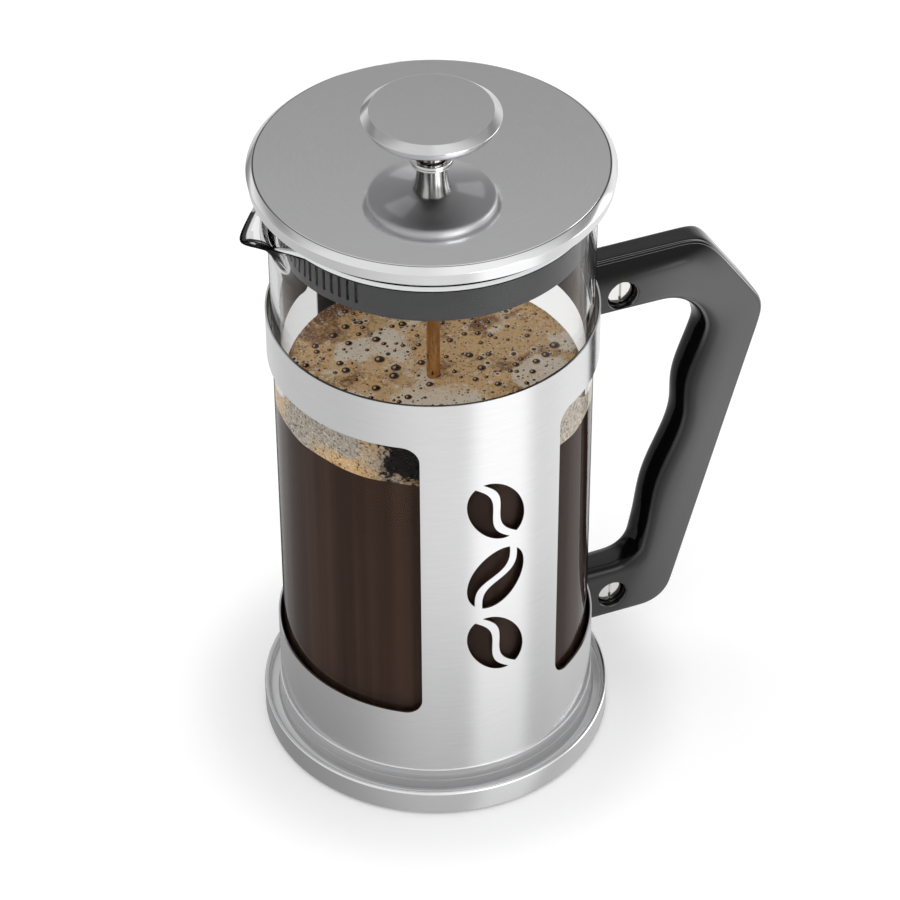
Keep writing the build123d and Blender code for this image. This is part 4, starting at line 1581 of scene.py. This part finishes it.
def handle_loop(bm, handle, half, outer, inner, strip, finger):
    """Closed loop of edges round one section of the handle."""
    inward = (inner - outer).normalized()
    side = handle_section(handle, half, (inner - outer).length, max(strip, 0), finger)
    near = [outer + inward * depth + Vector((0, -width, 0)) for depth, width in side]
    far = [outer + inward * depth + Vector((0, width, 0)) for depth, width in side[1:-1]]
    verts = [bm.verts.new(point) for point in near + far[::-1]]
    return [bm.edges.new(pair) for pair in zip(verts, verts[1:] + verts[:1])]


HANDLE_LEVELS = 2


def handle_shape(handle):
    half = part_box("handle")[1].y
    wall = sleeve_wall() + handle.end_gap
    bm = bmesh.new()
    loops = []
    for outer, inner, count, strip, finger in handle_legs(handle):
        pairs = list(zip(spaced(outer, count), spaced(inner, count)))
        for step in range(1 if loops else 0, count + 1):
            shares = [first + (last - first) * step / count for first, last in (strip, finger)]
            loops.append(handle_loop(bm, handle, half, *pairs[step], *shares))
    for first, second in zip(loops, loops[1:]):
        bmesh.ops.bridge_loops(bm, edges=first + second)
    bmesh.ops.holes_fill(bm, edges=loops[0] + loops[-1], sides=0)
    close(bm)
    bm = modified(bm, "SUBSURF", levels=HANDLE_LEVELS, render_levels=HANDLE_LEVELS)
    for vert in bm.verts:
        sweep = math.sqrt(wall**2 - vert.co.y**2)
        vert.co.x = max(vert.co.x, sweep)
    return bm


def screw_spots():
    """Middle of each screw along the handle's arms."""
    low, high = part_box("handle_screws")
    across = (high.x - low.x) / 2
    return [Vector(((low.x + high.x) / 2, 0, height)) for height in (low.z + across, high.z - across)]


def sideways(spot, side):
    """Turns a shape made along Z towards the near or the far side of the handle."""
    return Matrix.Translation(spot) @ Matrix.Rotation(-side * math.pi / 2, 4, "X")


def counterbores(handle, half):
    """Cutters for the screws' counterbores, with a broken edge."""
    seat = half - handle.recess - handle.head
    lead = handle.head_rounding
    points = [
        (0, seat),
        (handle.counterbore, seat),
        (handle.counterbore, half - lead),
        (handle.counterbore + 2 * lead, half + lead),
        (0, half + lead),
    ]
    cutter = bmesh.new()
    for spot in screw_spots():
        for side in (-1, 1):
            poured(cutter, moved(turned(points, steps=SMALL_TURN), sideways(spot, side)))
    return cutter


SLOT_REACH = 1.2


def screw_shape(handle, node, side):
    """Slotted heads on one side of the handle, with their shanks."""
    low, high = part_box(node)
    radius = (high.x - low.x) / 2
    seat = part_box("handle")[1].y - handle.recess - handle.head
    top = seat + handle.head
    shank = radius / 2
    points = [(0, -seat), (shank, -seat), (shank, seat), (radius, seat), (radius, top), (0, top)]
    reach, half = radius * SLOT_REACH, handle.slot_width / 2
    foot, over = top - handle.slot_depth, top + handle.slot_depth
    bm = bmesh.new()
    for spot in screw_spots():
        head = turned(points, {4: handle.head_rounding}, SMALL_TURN)
        groove = block((-reach, -half, foot), (reach, half, over))
        moved(groove, Matrix.Rotation(math.pi / 2, 4, "Z"))
        poured(bm, moved(carved(head, groove), sideways(spot, side)))
    return bm


# Beaker and what it holds


def spout_push(beaker, radius, reach, turn):
    """How far the spout draws the rim out at an angle from its tip."""
    soft = beaker.spout_softness
    turn = math.hypot(turn, soft) - soft
    half = math.hypot(beaker.spout_half_angle, soft) - soft
    if turn >= half:
        return 0.0
    line = reach * radius * math.sin(half)
    return line / (radius * math.sin(half - turn) + reach * math.sin(turn)) - radius


DIP_CURVE = 3


def draw_spout(bm, beaker, radius, reach, rim):
    """Draws the mouth's glass out to a V and lets its rim dip towards the tip."""
    root = rim - beaker.spout_depth
    for vert in bm.verts:
        ring = math.hypot(vert.co.x, vert.co.y)
        if vert.co.z < root or ring < radius / 2:
            continue
        turn = abs(math.atan2(vert.co.y, -vert.co.x))
        push = spout_push(beaker, radius, reach, turn)
        rise = min(1.0, (vert.co.z - root) / beaker.spout_depth)
        out = (ring + push * rise**beaker.spout_curve) / ring
        dip = beaker.spout_drop * (push / (reach - radius)) ** LIP_CURVE * rise**DIP_CURVE
        vert.co = (vert.co.x * out, vert.co.y * out, vert.co.z - dip)


SPOUT_CUTS = 14


def beaker_shape(beaker):
    low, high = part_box("glass_beaker")
    outer = high.y - beaker.bead
    inner = outer - beaker.wall
    points = [
        (0, low.z),
        (outer, low.z),
        (outer, high.z - beaker.bead_height),
        (high.y, high.z - beaker.bead_height),
        (high.y, high.z),
        (inner, high.z),
        (inner, low.z + beaker.floor),
        (0, low.z + beaker.floor),
    ]
    bead = beaker.wall * 0.45
    rounds = {
        1: beaker.foot_rounding,
        3: beaker.bead * 0.8,
        4: bead,
        5: bead,
        6: beaker.foot_rounding - beaker.wall,
    }
    bm = turned(points, rounds)
    for cut in range(1, SPOUT_CUTS + 1):
        height = high.z - beaker.bead_height - (beaker.spout_depth - beaker.bead_height) * cut / SPOUT_CUTS
        geometry = bm.verts[:] + bm.edges[:] + bm.faces[:]
        bmesh.ops.bisect_plane(bm, geom=geometry, dist=TOUCH, plane_co=(0, 0, height), plane_no=(0, 0, 1))
    draw_spout(bm, beaker, outer, -low.x, high.z)
    return bm


def beaker_bore(beaker):
    """Inner radius of the beaker and the height of its floor."""
    low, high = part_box("glass_beaker")
    return high.y - beaker.bead - beaker.wall, low.z + beaker.floor


COFFEE_LAP, FOAM_LAP = 0.05 * MM, 0.08 * MM
FOAM_WAVES = ((0.45 * MM, 70), (0.2 * MM, 260))
FOAM_CUTS, FOAM_STEPS = 44, 180
FOAM_EDGE_RISE, FOAM_EDGE_REACH = 0.9 * MM, 0.6 * MM
CLIMB_SLOPE, CLIMB_START = 2.2, 0.3
FOOT_WAVE = (0.9 * MM, 60)


def coffee_shape(beaker):
    radius, floor = beaker_bore(beaker)
    radius += COFFEE_LAP
    top = beaker.foam_top - beaker.foam_depth / 2
    points = [(0, floor), (radius, floor), (radius, top), (0, top)]
    return turned(points, {1: beaker.foot_rounding - beaker.wall})


def foam_height(x, y):
    """Unevenness of the foam's top."""
    return sum(height * noise.noise(Vector((x, y, 0)) * scale) for height, scale in FOAM_WAVES)


def foam_shape(beaker):
    """Layer of foam with an uneven top, a raised edge and a ragged foot."""
    radius = beaker_bore(beaker)[0] + FOAM_LAP
    ragged, ragged_scale = FOOT_WAVE
    bm = bmesh.new()
    ends = [bm.verts.new((reach, 0, beaker.foam_top)) for reach in (0, radius)]
    bmesh.ops.subdivide_edges(bm, edges=[bm.edges.new(ends)], cuts=FOAM_CUTS)
    spun(bm, FULL_TURN, FOAM_STEPS, merge=True)
    bmesh.ops.remove_doubles(bm, verts=bm.verts[:], dist=TOUCH)
    rim = open_edges(bm)
    for vert in bm.verts:
        inset = radius - math.hypot(vert.co.x, vert.co.y)
        ahead = math.cos(math.atan2(vert.co.y, vert.co.x) - beaker.froth_bearing)
        share_of_rise = min(1.0, max(0.0, CLIMB_SLOPE * ahead - CLIMB_START)) ** 2
        climb = FOAM_EDGE_RISE + beaker.froth_rise * share_of_rise
        vert.co.z += foam_height(vert.co.x, vert.co.y) + climb * math.exp(-inset / FOAM_EDGE_REACH)
    foot = bmesh.ops.extrude_edge_only(bm, edges=rim)["geom"]
    low = [item for item in foot if isinstance(item, bmesh.types.BMVert)]
    for vert in low:
        vert.co.z = beaker.foam_top - beaker.foam_depth + ragged * noise.noise(vert.co * ragged_scale)
    bmesh.ops.holes_fill(bm, edges=open_edges(bm), sides=0)
    return close(bm)


BUBBLE_SEED = 11
BUBBLE_TRIES = 4
BUBBLE_CURVE = 2.7
BUBBLE_MARGIN = 0.6 * MM
BUBBLE_SINK, BUBBLE_SQUASH = 0.25, 0.75
BUBBLE_ROUND, BUBBLE_RINGS = 12, 7


def bubble_shape(beaker):
    """Bubbles of many sizes on the foam, none across another."""
    chance = random.Random(BUBBLE_SEED)
    spread = beaker.bubble_most - beaker.bubble_least
    radius = beaker_bore(beaker)[0]
    bm = bmesh.new()
    placed = []
    for _ in range(BUBBLE_TRIES * beaker.bubble_count):
        if len(placed) == beaker.bubble_count:
            break
        size = beaker.bubble_least + spread * chance.random() ** BUBBLE_CURVE
        turn = FULL_TURN * chance.random()
        reach = (radius - size - BUBBLE_MARGIN) * math.sqrt(chance.random())
        spot = Vector((reach * math.cos(turn), reach * math.sin(turn), 0))
        if any((spot - other).length < size + width for other, width in placed):
            continue
        placed.append((spot, size))
        height = beaker.foam_top + foam_height(spot.x, spot.y)
        sunk = Matrix.Translation((spot.x, spot.y, height - BUBBLE_SINK * size))
        squat = sunk @ Matrix.Diagonal((1, 1, BUBBLE_SQUASH, 1))
        bubble = bmesh.new()
        cuts = {"u_segments": BUBBLE_ROUND, "v_segments": BUBBLE_RINGS}
        bmesh.ops.create_uvsphere(bubble, radius=size, matrix=squat, **cuts)
        poured(bm, bubble)
    return bm


# Lid, knob and plunger


def lid_shape(lid):
    low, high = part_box("lid_cover")
    flat = high.x - lid.bead_width
    foot = high.x - lid.skirt_taper
    shoulder = high.z - lid.bead_drop
    points = [
        (lid.hole_radius, high.z),
        (flat - lid.groove, high.z),
        (flat - lid.groove / 2, high.z - lid.groove),
        (flat, high.z - 0.1 * lid.groove),
        (high.x, shoulder),
        (foot, low.z),
        (foot - lid.sheet, low.z),
        (high.x - lid.sheet, shoulder),
        (flat - lid.sheet / 2, high.z - lid.sheet),
        (lid.hole_radius, high.z - lid.sheet),
    ]
    edge = 0.35 * lid.sheet
    return turned(points, {0: 0.3 * edge, 3: 0.3 * lid.groove, 4: 0.7 * edge, 5: edge, 6: edge})


def collar_shape(lid):
    low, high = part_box("lid_collar")
    outer, inner = lid.collar_radius, lid.collar_radius - lid.collar_wall
    flange = low.z + lid.flange_rise
    points = [
        (lid.hole_radius, high.z),
        (outer, high.z),
        (outer, flange + lid.flange),
        (high.x, flange + lid.flange),
        (high.x, flange),
        (outer, flange),
        (outer, low.z),
        (inner, low.z),
        (inner, high.z - lid.web),
        (lid.hole_radius, high.z - lid.web),
    ]
    edge = 0.3 * lid.collar_wall
    bm = turned(points, {3: edge, 4: edge, 6: edge, 7: edge, 8: 2 * edge})
    foot = low.z + lid.slot_rise
    slots = bmesh.new()
    half = lid.slot_width / 2
    near, away = inner + lid.collar_wall / 2, outer + lid.collar_wall
    for count in range(lid.slot_count):
        turn = math.pi + lid.slot_angle * (count - (lid.slot_count - 1) / 2)
        slot = block((near, -half, foot), (away, half, foot + lid.slot_height))
        poured(slots, moved(slot, Matrix.Rotation(turn, 4, "Z")))
    return carved(bm, slots)


def bush_shape(knob):
    low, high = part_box("guide_bush")
    bore = rod_radius() + knob.rod_gap
    seat = high.z - knob.bush_flange
    dip = high.z - knob.bush_recess
    points = [
        (bore, low.z),
        (knob.bush_radius, low.z),
        (knob.bush_radius, seat),
        (high.x, seat),
        (high.x, high.z),
        (knob.bush_recess_radius, high.z),
        (knob.bush_recess_radius, dip),
        (bore, dip),
    ]
    edge = 0.3 * knob.bush_flange
    return turned(points, {4: edge, 5: edge}, SMALL_TURN)


def neck_shape(knob):
    low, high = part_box("knob_neck")
    bore = rod_radius()
    bend = low.z + knob.neck_straight
    foot = knob.neck_foot
    points = [(bore, low.z), (foot, low.z), (foot, bend), (high.x, high.z), (bore, high.z)]
    return turned(points, {1: 0.1 * foot, 2: 0.9 * (high.z - bend)}, SMALL_TURN)


def knob_base_shape(knob):
    low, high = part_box("knob_base")
    bore = rod_radius()
    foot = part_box("knob_neck")[1].x
    corner = low.z + knob.under_drop
    inner = high.x - knob.sheet
    points = [
        (bore, low.z),
        (foot, low.z),
        (high.x, corner),
        (high.x, high.z),
        (inner, high.z),
        (inner, corner + knob.sheet),
        (foot, low.z + knob.sheet),
        (bore, low.z + knob.sheet),
    ]
    return turned(points, {1: 0.5 * knob.sheet, 2: 1.1 * knob.sheet}, MIDDLE_TURN)


def knob_cap_shape(knob):
    low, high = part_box("knob_cap")
    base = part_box("knob_base")[1].x
    edge = high.z - knob.edge_drop
    inner = base - knob.sheet
    points = [
        (0, high.z),
        (knob.flat_radius, high.z),
        (high.x, edge),
        (high.x, edge - knob.edge),
        (base, low.z),
        (inner, low.z),
        (inner, high.z - knob.sheet),
        (0, high.z - knob.sheet),
    ]
    soft = 0.3 * knob.edge
    return turned(points, {1: 0.7 * soft, 2: soft, 3: soft}, MIDDLE_TURN)


def rod_shape():
    low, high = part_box("plunger_rod")
    points = [(0, low.z), (high.x, low.z), (high.x, high.z), (0, high.z)]
    return turned(points, {1: 0.25 * high.x, 2: 0.25 * high.x}, SMALL_TURN)


def hub_shape():
    low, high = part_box("filter_hub")
    bore = rod_radius()
    points = [(bore, low.z), (high.x, low.z), (high.x, high.z), (bore, high.z)]
    return turned(points, {1: 0.1 * high.x, 2: 0.2 * high.x}, SMALL_TURN)


def mesh_dish_shape(sizes):
    low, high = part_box("mesh_filter")
    bore = rod_radius()
    wall = high.x - sizes.mesh_sheet
    points = [
        (bore, low.z),
        (high.x, low.z),
        (high.x, high.z),
        (wall, high.z),
        (wall, low.z + sizes.mesh_sheet),
        (bore, low.z + sizes.mesh_sheet),
    ]
    edge = 0.3 * sizes.mesh_sheet
    return turned(points, {1: sizes.mesh_sheet, 2: edge, 3: edge}, MIDDLE_TURN)


COIL_STEPS = 12


def edge_coil_shape(sizes):
    """Wire wound in small turns all the way round the plate's edge."""
    low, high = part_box("edge_spring")
    coil = (high.z - low.z) / 2 - sizes.wire
    ring = high.x - (high.z - low.z) / 2
    middle = (low.z + high.z) / 2
    curve = bpy.data.curves.new("coil", "CURVE")
    curve.dimensions = "3D"
    curve.bevel_depth = sizes.wire
    curve.bevel_resolution = 1
    points = COIL_STEPS * sizes.coil_turns
    spline = curve.splines.new("POLY")
    spline.points.add(points - 1)
    spline.use_cyclic_u = True
    for step, point in enumerate(spline.points):
        way = FULL_TURN * step / points
        twist = FULL_TURN * step / COIL_STEPS
        reach = ring + coil * math.cos(twist)
        point.co = (reach * math.cos(way), reach * math.sin(way), middle + coil * math.sin(twist), 1)
    work = bpy.data.objects.new("coil", curve)
    bpy.context.scene.collection.objects.link(work)
    graph = bpy.context.evaluated_depsgraph_get()
    bm = bmesh.new()
    bm.from_mesh(work.evaluated_get(graph).to_mesh())
    bpy.data.curves.remove(curve)
    return close(bm)


# Studio: patches of the surroundings as (middle, half, softness), bearings in radians, heights from -1 to 1

NEAR_SIDE = (1.2, 1.9)
BRIGHT_SKY = (0.6, 0.5, 0.25)
HIGH_SKY, HIGH_SKY_RISE = (0.53, 0.62), 0.12
LOW_SKY, LOW_SKY_LEVEL = (0.12, 0.5), 0.95
DARK_CARD = ((-2.45, 0.6, 0.25), (0.02, 0.11, 0.06))
RIGHT_LAMP = ((1.85, 0.3, 0.1), (0.05, 0.3, 0.08))
FRONT_LAMP = ((0.72, 0.3, 0.1), (0.5, 0.16, 0.05))
GROUND_FRONT = (-1.2, 0.1)
GROUND_RIGHT, GROUND_RIGHT_SHARE = (1.45, 1.9), 0.4
GROUND_BACK, GROUND_BACK_SHARE = (-2.8, -2.0), 0.5
STRIP_SOFT = 0.14
HORIZON = (-0.04, 0.1)
SENSOR_WIDTH = 36
BLACK, WHITE = (0.0, 0.0, 0.0, 1.0), (1.0, 1.0, 1.0, 1.0)


def camera_frame(studio):
    """Direction from the aim back to the camera, and the camera's place."""
    flat = math.cos(studio.elevation)
    east, north = math.sin(studio.azimuth) * flat, -math.cos(studio.azimuth) * flat
    back = Vector((east, north, math.sin(studio.elevation)))
    return back, Vector(studio.aim) + back * studio.distance


def add_camera(studio):
    back, spot = camera_frame(studio)
    camera = bpy.data.objects.new("camera", bpy.data.cameras.new("camera"))
    camera.data.lens = studio.lens
    camera.data.sensor_width = SENSOR_WIDTH
    camera.location = spot
    camera.rotation_mode = "QUATERNION"
    camera.rotation_quaternion = back.to_track_quat("Z", "Y") @ Quaternion((0, 0, 1), studio.roll)
    bpy.context.scene.collection.objects.link(camera)
    bpy.context.scene.camera = camera


def bearing(field, vector, studio):
    """Angle of a vector round the press, from the camera's side, positive to the right, and its height."""
    x, y, up = vector.parts()
    east, north = math.sin(studio.azimuth), -math.cos(studio.azimuth)
    ahead = x * east + y * north
    right = y * east - x * north
    return field.maths("ARCTAN2", right, ahead), up


def patch_light(turn, up, patch):
    """Level of 1 in a patch of the surroundings, given by its bearing and its height."""
    across, high = patch
    return box_light(turn, *across) * box_light(up, *high)


def mirrored_sky(turn, up, studio):
    """Level of the sky in polished metal: grey high beyond the press, and bright elsewhere."""
    near = 1 - abs(turn).rise(NEAR_SIDE)
    bright = studio.near_sky + (1 - studio.near_sky) * box_light(turn, *BRIGHT_SKY)
    high = studio.far_sky + HIGH_SKY_RISE * up.rise(HIGH_SKY).swing()
    far = high + (LOW_SKY_LEVEL - high) * (1 - up.rise(LOW_SKY))
    return far + (bright - far) * near


def dark_card(turn, up, studio):
    """Share of the level that a dark card at the far left leaves in polished metal."""
    across, high = DARK_CARD
    return 1 - (1 - studio.card_level) * box_light(turn, *across) * box_light(up, *high)


def mirrored_lamps(turn, up, studio):
    """Two lamps that only gloss mirrors: low at the right of the press, and over the camera's right."""
    return studio.lamps * (patch_light(turn, up, RIGHT_LAMP) + patch_light(turn, up, FRONT_LAMP))


def mirrored_ground(turn, studio):
    """Level of the ground in polished metal: a bright strip, and greyer to the left."""
    rise = studio.front_ground - studio.left_ground
    level = studio.left_ground + rise * turn.rise(GROUND_FRONT)
    level = level + GROUND_RIGHT_SHARE * rise * turn.rise(GROUND_RIGHT)
    level = level + GROUND_BACK_SHARE * rise * (1 - turn.rise(GROUND_BACK))
    strip = box_light(turn, studio.strip_bearing, studio.strip_half, STRIP_SOFT)
    return level + (studio.strip_level - level) * strip


def add_world(studio):
    """White surroundings, with softer levels where polished metal mirrors them."""
    world = bpy.data.worlds.new("studio")
    bpy.context.scene.world = world
    world.use_nodes = True
    world.node_tree.nodes.clear()
    field = Field(world.node_tree)
    way = field.node("ShaderNodeTexCoord", None, None, "Generated")
    turn, up = bearing(field, way, studio)
    ground = mirrored_ground(turn, studio)
    level = ground + (mirrored_sky(turn, up, studio) - ground) * up.rise(HORIZON)
    level = level * dark_card(turn, up, studio)
    mirrored = field.node("ShaderNodeLightPath", None, None, "Is Glossy Ray")
    strength = 1 + (level + mirrored_lamps(turn, up, studio) - 1) * mirrored
    light = field.node("ShaderNodeBackground", None, {"Color": WHITE, "Strength": strength})
    output = world.node_tree.nodes.new("ShaderNodeOutputWorld")
    world.node_tree.links.new(light.socket, output.inputs["Surface"])


DUST, DUST_SHADES = (900.0, 2.0), (0.995, 1.0)
OPEN_FLOOR, OPEN_LIFT = (0.062, 0.088), 0.14
GLASS_LIFT = 0.12
LEFT_FLOOR, LEFT_VEIL = (-1.1, -0.1), 0.18
VEIL_START = 0.02


def floor_finish(name, colour, studio):
    """Pale floor that keeps the shadow, and that metal mirrors as a level darker beside the base."""
    material, field = new_material(name)
    here = place(field)
    ray = field.node("ShaderNodeLightPath", None, None, "Is Camera Ray")
    through_glass = ray.output("Is Transmission Ray")
    dusty = here.noise(*DUST).mix(*shades(colour, DUST_SHADES))
    matt = field.node("ShaderNodeBsdfDiffuse", None, {"Color": dusty})
    reach = here.vector_maths("LENGTH")
    lift = 1.0 - colour[0] + OPEN_LIFT * reach.rise(OPEN_FLOOR) + GLASS_LIFT * through_glass
    glow = field.node("ShaderNodeEmission", None, {"Color": lift.mix(BLACK, WHITE)})
    lifted = field.node("ShaderNodeAddShader", None, {0: matt, 1: glow})
    seen = ray.most(through_glass).blend(matt, lifted)
    left = 1 - bearing(field, here, studio)[0].rise(LEFT_FLOOR)
    near = 1 - reach.step(VEIL_START, studio.contact_reach)
    # Painted shadow: metal mirrors the floor darker beside the base, and more so at the left
    veil = (1 - studio.contact_shade + LEFT_VEIL * left) * near
    clear = field.node("ShaderNodeBsdfTransparent")
    dark = field.node("ShaderNodeEmission", None, {"Strength": 0.0})
    return finished(material, ray.output("Is Glossy Ray").blend(seen, veil.blend(clear, dark)))


def add_floor(press):
    studio = press.studio
    bm = bmesh.new()
    bmesh.ops.create_grid(bm, x_segments=1, y_segments=1, size=studio.floor_size)
    mesh = bpy.data.meshes.new("floor")
    bm.to_mesh(mesh)
    bm.free()
    mesh.materials.append(floor_finish("pale_floor", press.finishes.floor, studio))
    floor = bpy.data.objects.new("floor", mesh)
    bpy.context.scene.collection.objects.link(floor)


# Operators


class PRESS_OT_base(bpy.types.Operator):
    """Base ring with its rolled lip, and the finishes of what lies under it"""

    bl_idname = "press.base"
    bl_label = "Base"

    def execute(self, context):
        press = context.scene.press
        show("base_dish", base_shape(press.base), base_finish(press), "base_ring")
        dress(finish("base_rubber", rubber, press.finishes.rubber, roughness=0.75), "base_pad")
        dress(finish("seat_silicone", rubber, press.finishes.silicone, roughness=0.45), "glass_seat")
        dress(fitting_finish(press), "base_rivets")
        return {"FINISHED"}


class PRESS_OT_sleeve(bpy.types.Operator):
    """Sheet-steel sleeve with its windows and pierced panels"""

    bl_idname = "press.sleeve"
    bl_label = "Sleeve"

    def execute(self, context):
        press = context.scene.press
        show("sleeve_sheet", sleeve_shape(press.sleeve), sleeve_finish(press), "frame_sleeve", sheet=True)
        return {"FINISHED"}


class PRESS_OT_handle(bpy.types.Operator):
    """Moulded handle with its coves, counterbores and slotted screws"""

    bl_idname = "press.handle"
    bl_label = "Handle"

    def execute(self, context):
        press = context.scene.press
        handle = press.handle
        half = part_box("handle")[1].y
        grip = carved(handle_shape(handle), counterbores(handle, half))
        show("handle_moulding", grip, handle_finish(press), "handle", sharp=SHARP_MOULDING)
        for piece, side in (("screws", -1), ("barrel_nuts", 1)):
            node = "handle_" + piece
            show(piece, screw_shape(handle, node, side), rod_finish(press), node)
        dress(fitting_finish(press), "upper_lug", "lower_lug")
        return {"FINISHED"}


class PRESS_OT_beaker(bpy.types.Operator):
    """Glass beaker with its drawn spout"""

    bl_idname = "press.beaker"
    bl_label = "Beaker"

    def execute(self, context):
        press = context.scene.press
        show("beaker", beaker_shape(press.beaker), glass_finish(press), "glass_beaker")
        return {"FINISHED"}


class PRESS_OT_coffee(bpy.types.Operator):
    """Coffee in the beaker, with foam and bubbles"""

    bl_idname = "press.coffee"
    bl_label = "Coffee"

    def execute(self, context):
        press = context.scene.press
        beaker, finishes = press.beaker, press.finishes
        if beaker.filled:
            body = BODY_OF["glass_beaker"]
            brew = finish("brewed_coffee", brewed_coffee, finishes.coffee)
            show("coffee", coffee_shape(beaker), brew, body=body)
            froth = finish("coffee_foam", coffee_foam, finishes, beaker.grounds, beaker_bore(beaker)[0])
            show("foam", foam_shape(beaker), froth, body=body)
            skin = finish("bubble_skin", bubble_skin, finishes.bubble, finishes.foam)
            show("bubbles", bubble_shape(beaker), skin, body=body)
        return {"FINISHED"}


class PRESS_OT_lid(bpy.types.Operator):
    """Steel lid, its plastic collar with the strainer slots, and the bush"""

    bl_idname = "press.lid"
    bl_label = "Lid"

    def execute(self, context):
        press = context.scene.press
        show("lid_pressing", lid_shape(press.lid), lid_finish(press), "lid_cover", sheet=True)
        show("strainer_collar", collar_shape(press.lid), collar_finish(press), "lid_collar")
        show("bush", bush_shape(press.knob), rod_finish(press), "guide_bush")
        dress(fitting_finish(press), "bush_washer", "bush_nut")
        return {"FINISHED"}


class PRESS_OT_knob(bpy.types.Operator):
    """Knob, its neck and the plunger's rod"""

    bl_idname = "press.knob"
    bl_label = "Knob and rod"

    def execute(self, context):
        press = context.scene.press
        knob = press.knob
        show("knob_top_shell", knob_cap_shape(knob), knob_finish(press), "knob_cap", sheet=True)
        show("knob_under_shell", knob_base_shape(knob), under_knob_finish(press), "knob_base")
        show("neck", neck_shape(knob), neck_finish(press), "knob_neck")
        show("rod", rod_shape(), rod_film_and_reflection_finish(press), "plunger_rod")
        dress(finish("insert_brass", plain_steel, press.finishes.brass, roughness=0.3), "knob_insert")
        return {"FINISHED"}


class PRESS_OT_filter(bpy.types.Operator):
    """Filter stack with its wire mesh and edge coil"""

    bl_idname = "press.filter"
    bl_label = "Filter"

    def execute(self, context):
        press = context.scene.press
        sizes, finishes = press.filter, press.finishes
        woven = finish("woven_mesh", wire_mesh, finishes.filter_steel, sizes.mesh_pitch)
        show("mesh_dish", mesh_dish_shape(sizes), woven, "mesh_filter")
        show("edge_coil", edge_coil_shape(sizes), filter_finish(press), "edge_spring")
        show("rod_shoulder", hub_shape(), filter_finish(press), "filter_hub")
        dress(filter_finish(press), "spiral_plate", "cross_plate", "hub_nut")
        return {"FINISHED"}


class PRESS_OT_studio(bpy.types.Operator):
    """Camera, surroundings and floor"""

    bl_idname = "press.studio"
    bl_label = "Studio"

    def execute(self, context):
        press = context.scene.press
        context.scene.view_settings.view_transform = "Standard"
        add_camera(press.studio)
        add_world(press.studio)
        add_floor(press)
        return {"FINISHED"}


OPERATORS = (
    PRESS_OT_base,
    PRESS_OT_sleeve,
    PRESS_OT_handle,
    PRESS_OT_beaker,
    PRESS_OT_coffee,
    PRESS_OT_lid,
    PRESS_OT_knob,
    PRESS_OT_filter,
    PRESS_OT_studio,
)
GROUPS = (
    PressBase,
    PressSleeve,
    PressBeaker,
    PressLid,
    PressKnob,
    PressFilter,
    PressHandle,
    PressFinishes,
    PressStudio,
    PressSettings,
)


class PRESS_PT_panel(bpy.types.Panel):
    """Lists the press's settings and the pieces to build"""

    bl_idname = "PRESS_PT_panel"
    bl_label = "Coffee press"
    bl_space_type = "VIEW_3D"
    bl_region_type = "UI"
    bl_category = "Press"

    def draw(self, context):
        for operator in OPERATORS:
            self.layout.operator(operator.bl_idname)
        press = context.scene.press
        for group in PressSettings.__annotations__:
            box = self.layout.box()
            box.label(text=group.title())
            settings = getattr(press, group)
            for name in type(settings).__annotations__:
                box.prop(settings, name)


def register():
    for item in (*GROUPS, *OPERATORS, PRESS_PT_panel):
        bpy.utils.register_class(item)
    bpy.types.Scene.press = PointerProperty(type=PressSettings)


def unregister():
    del bpy.types.Scene.press
    for item in reversed((*GROUPS, *OPERATORS, PRESS_PT_panel)):
        bpy.utils.unregister_class(item)


def main():
    register()
    for operator in OPERATORS:
        family, name = operator.bl_idname.split(".")
        getattr(getattr(bpy.ops, family), name)()


if __name__ == "__main__":
    main()
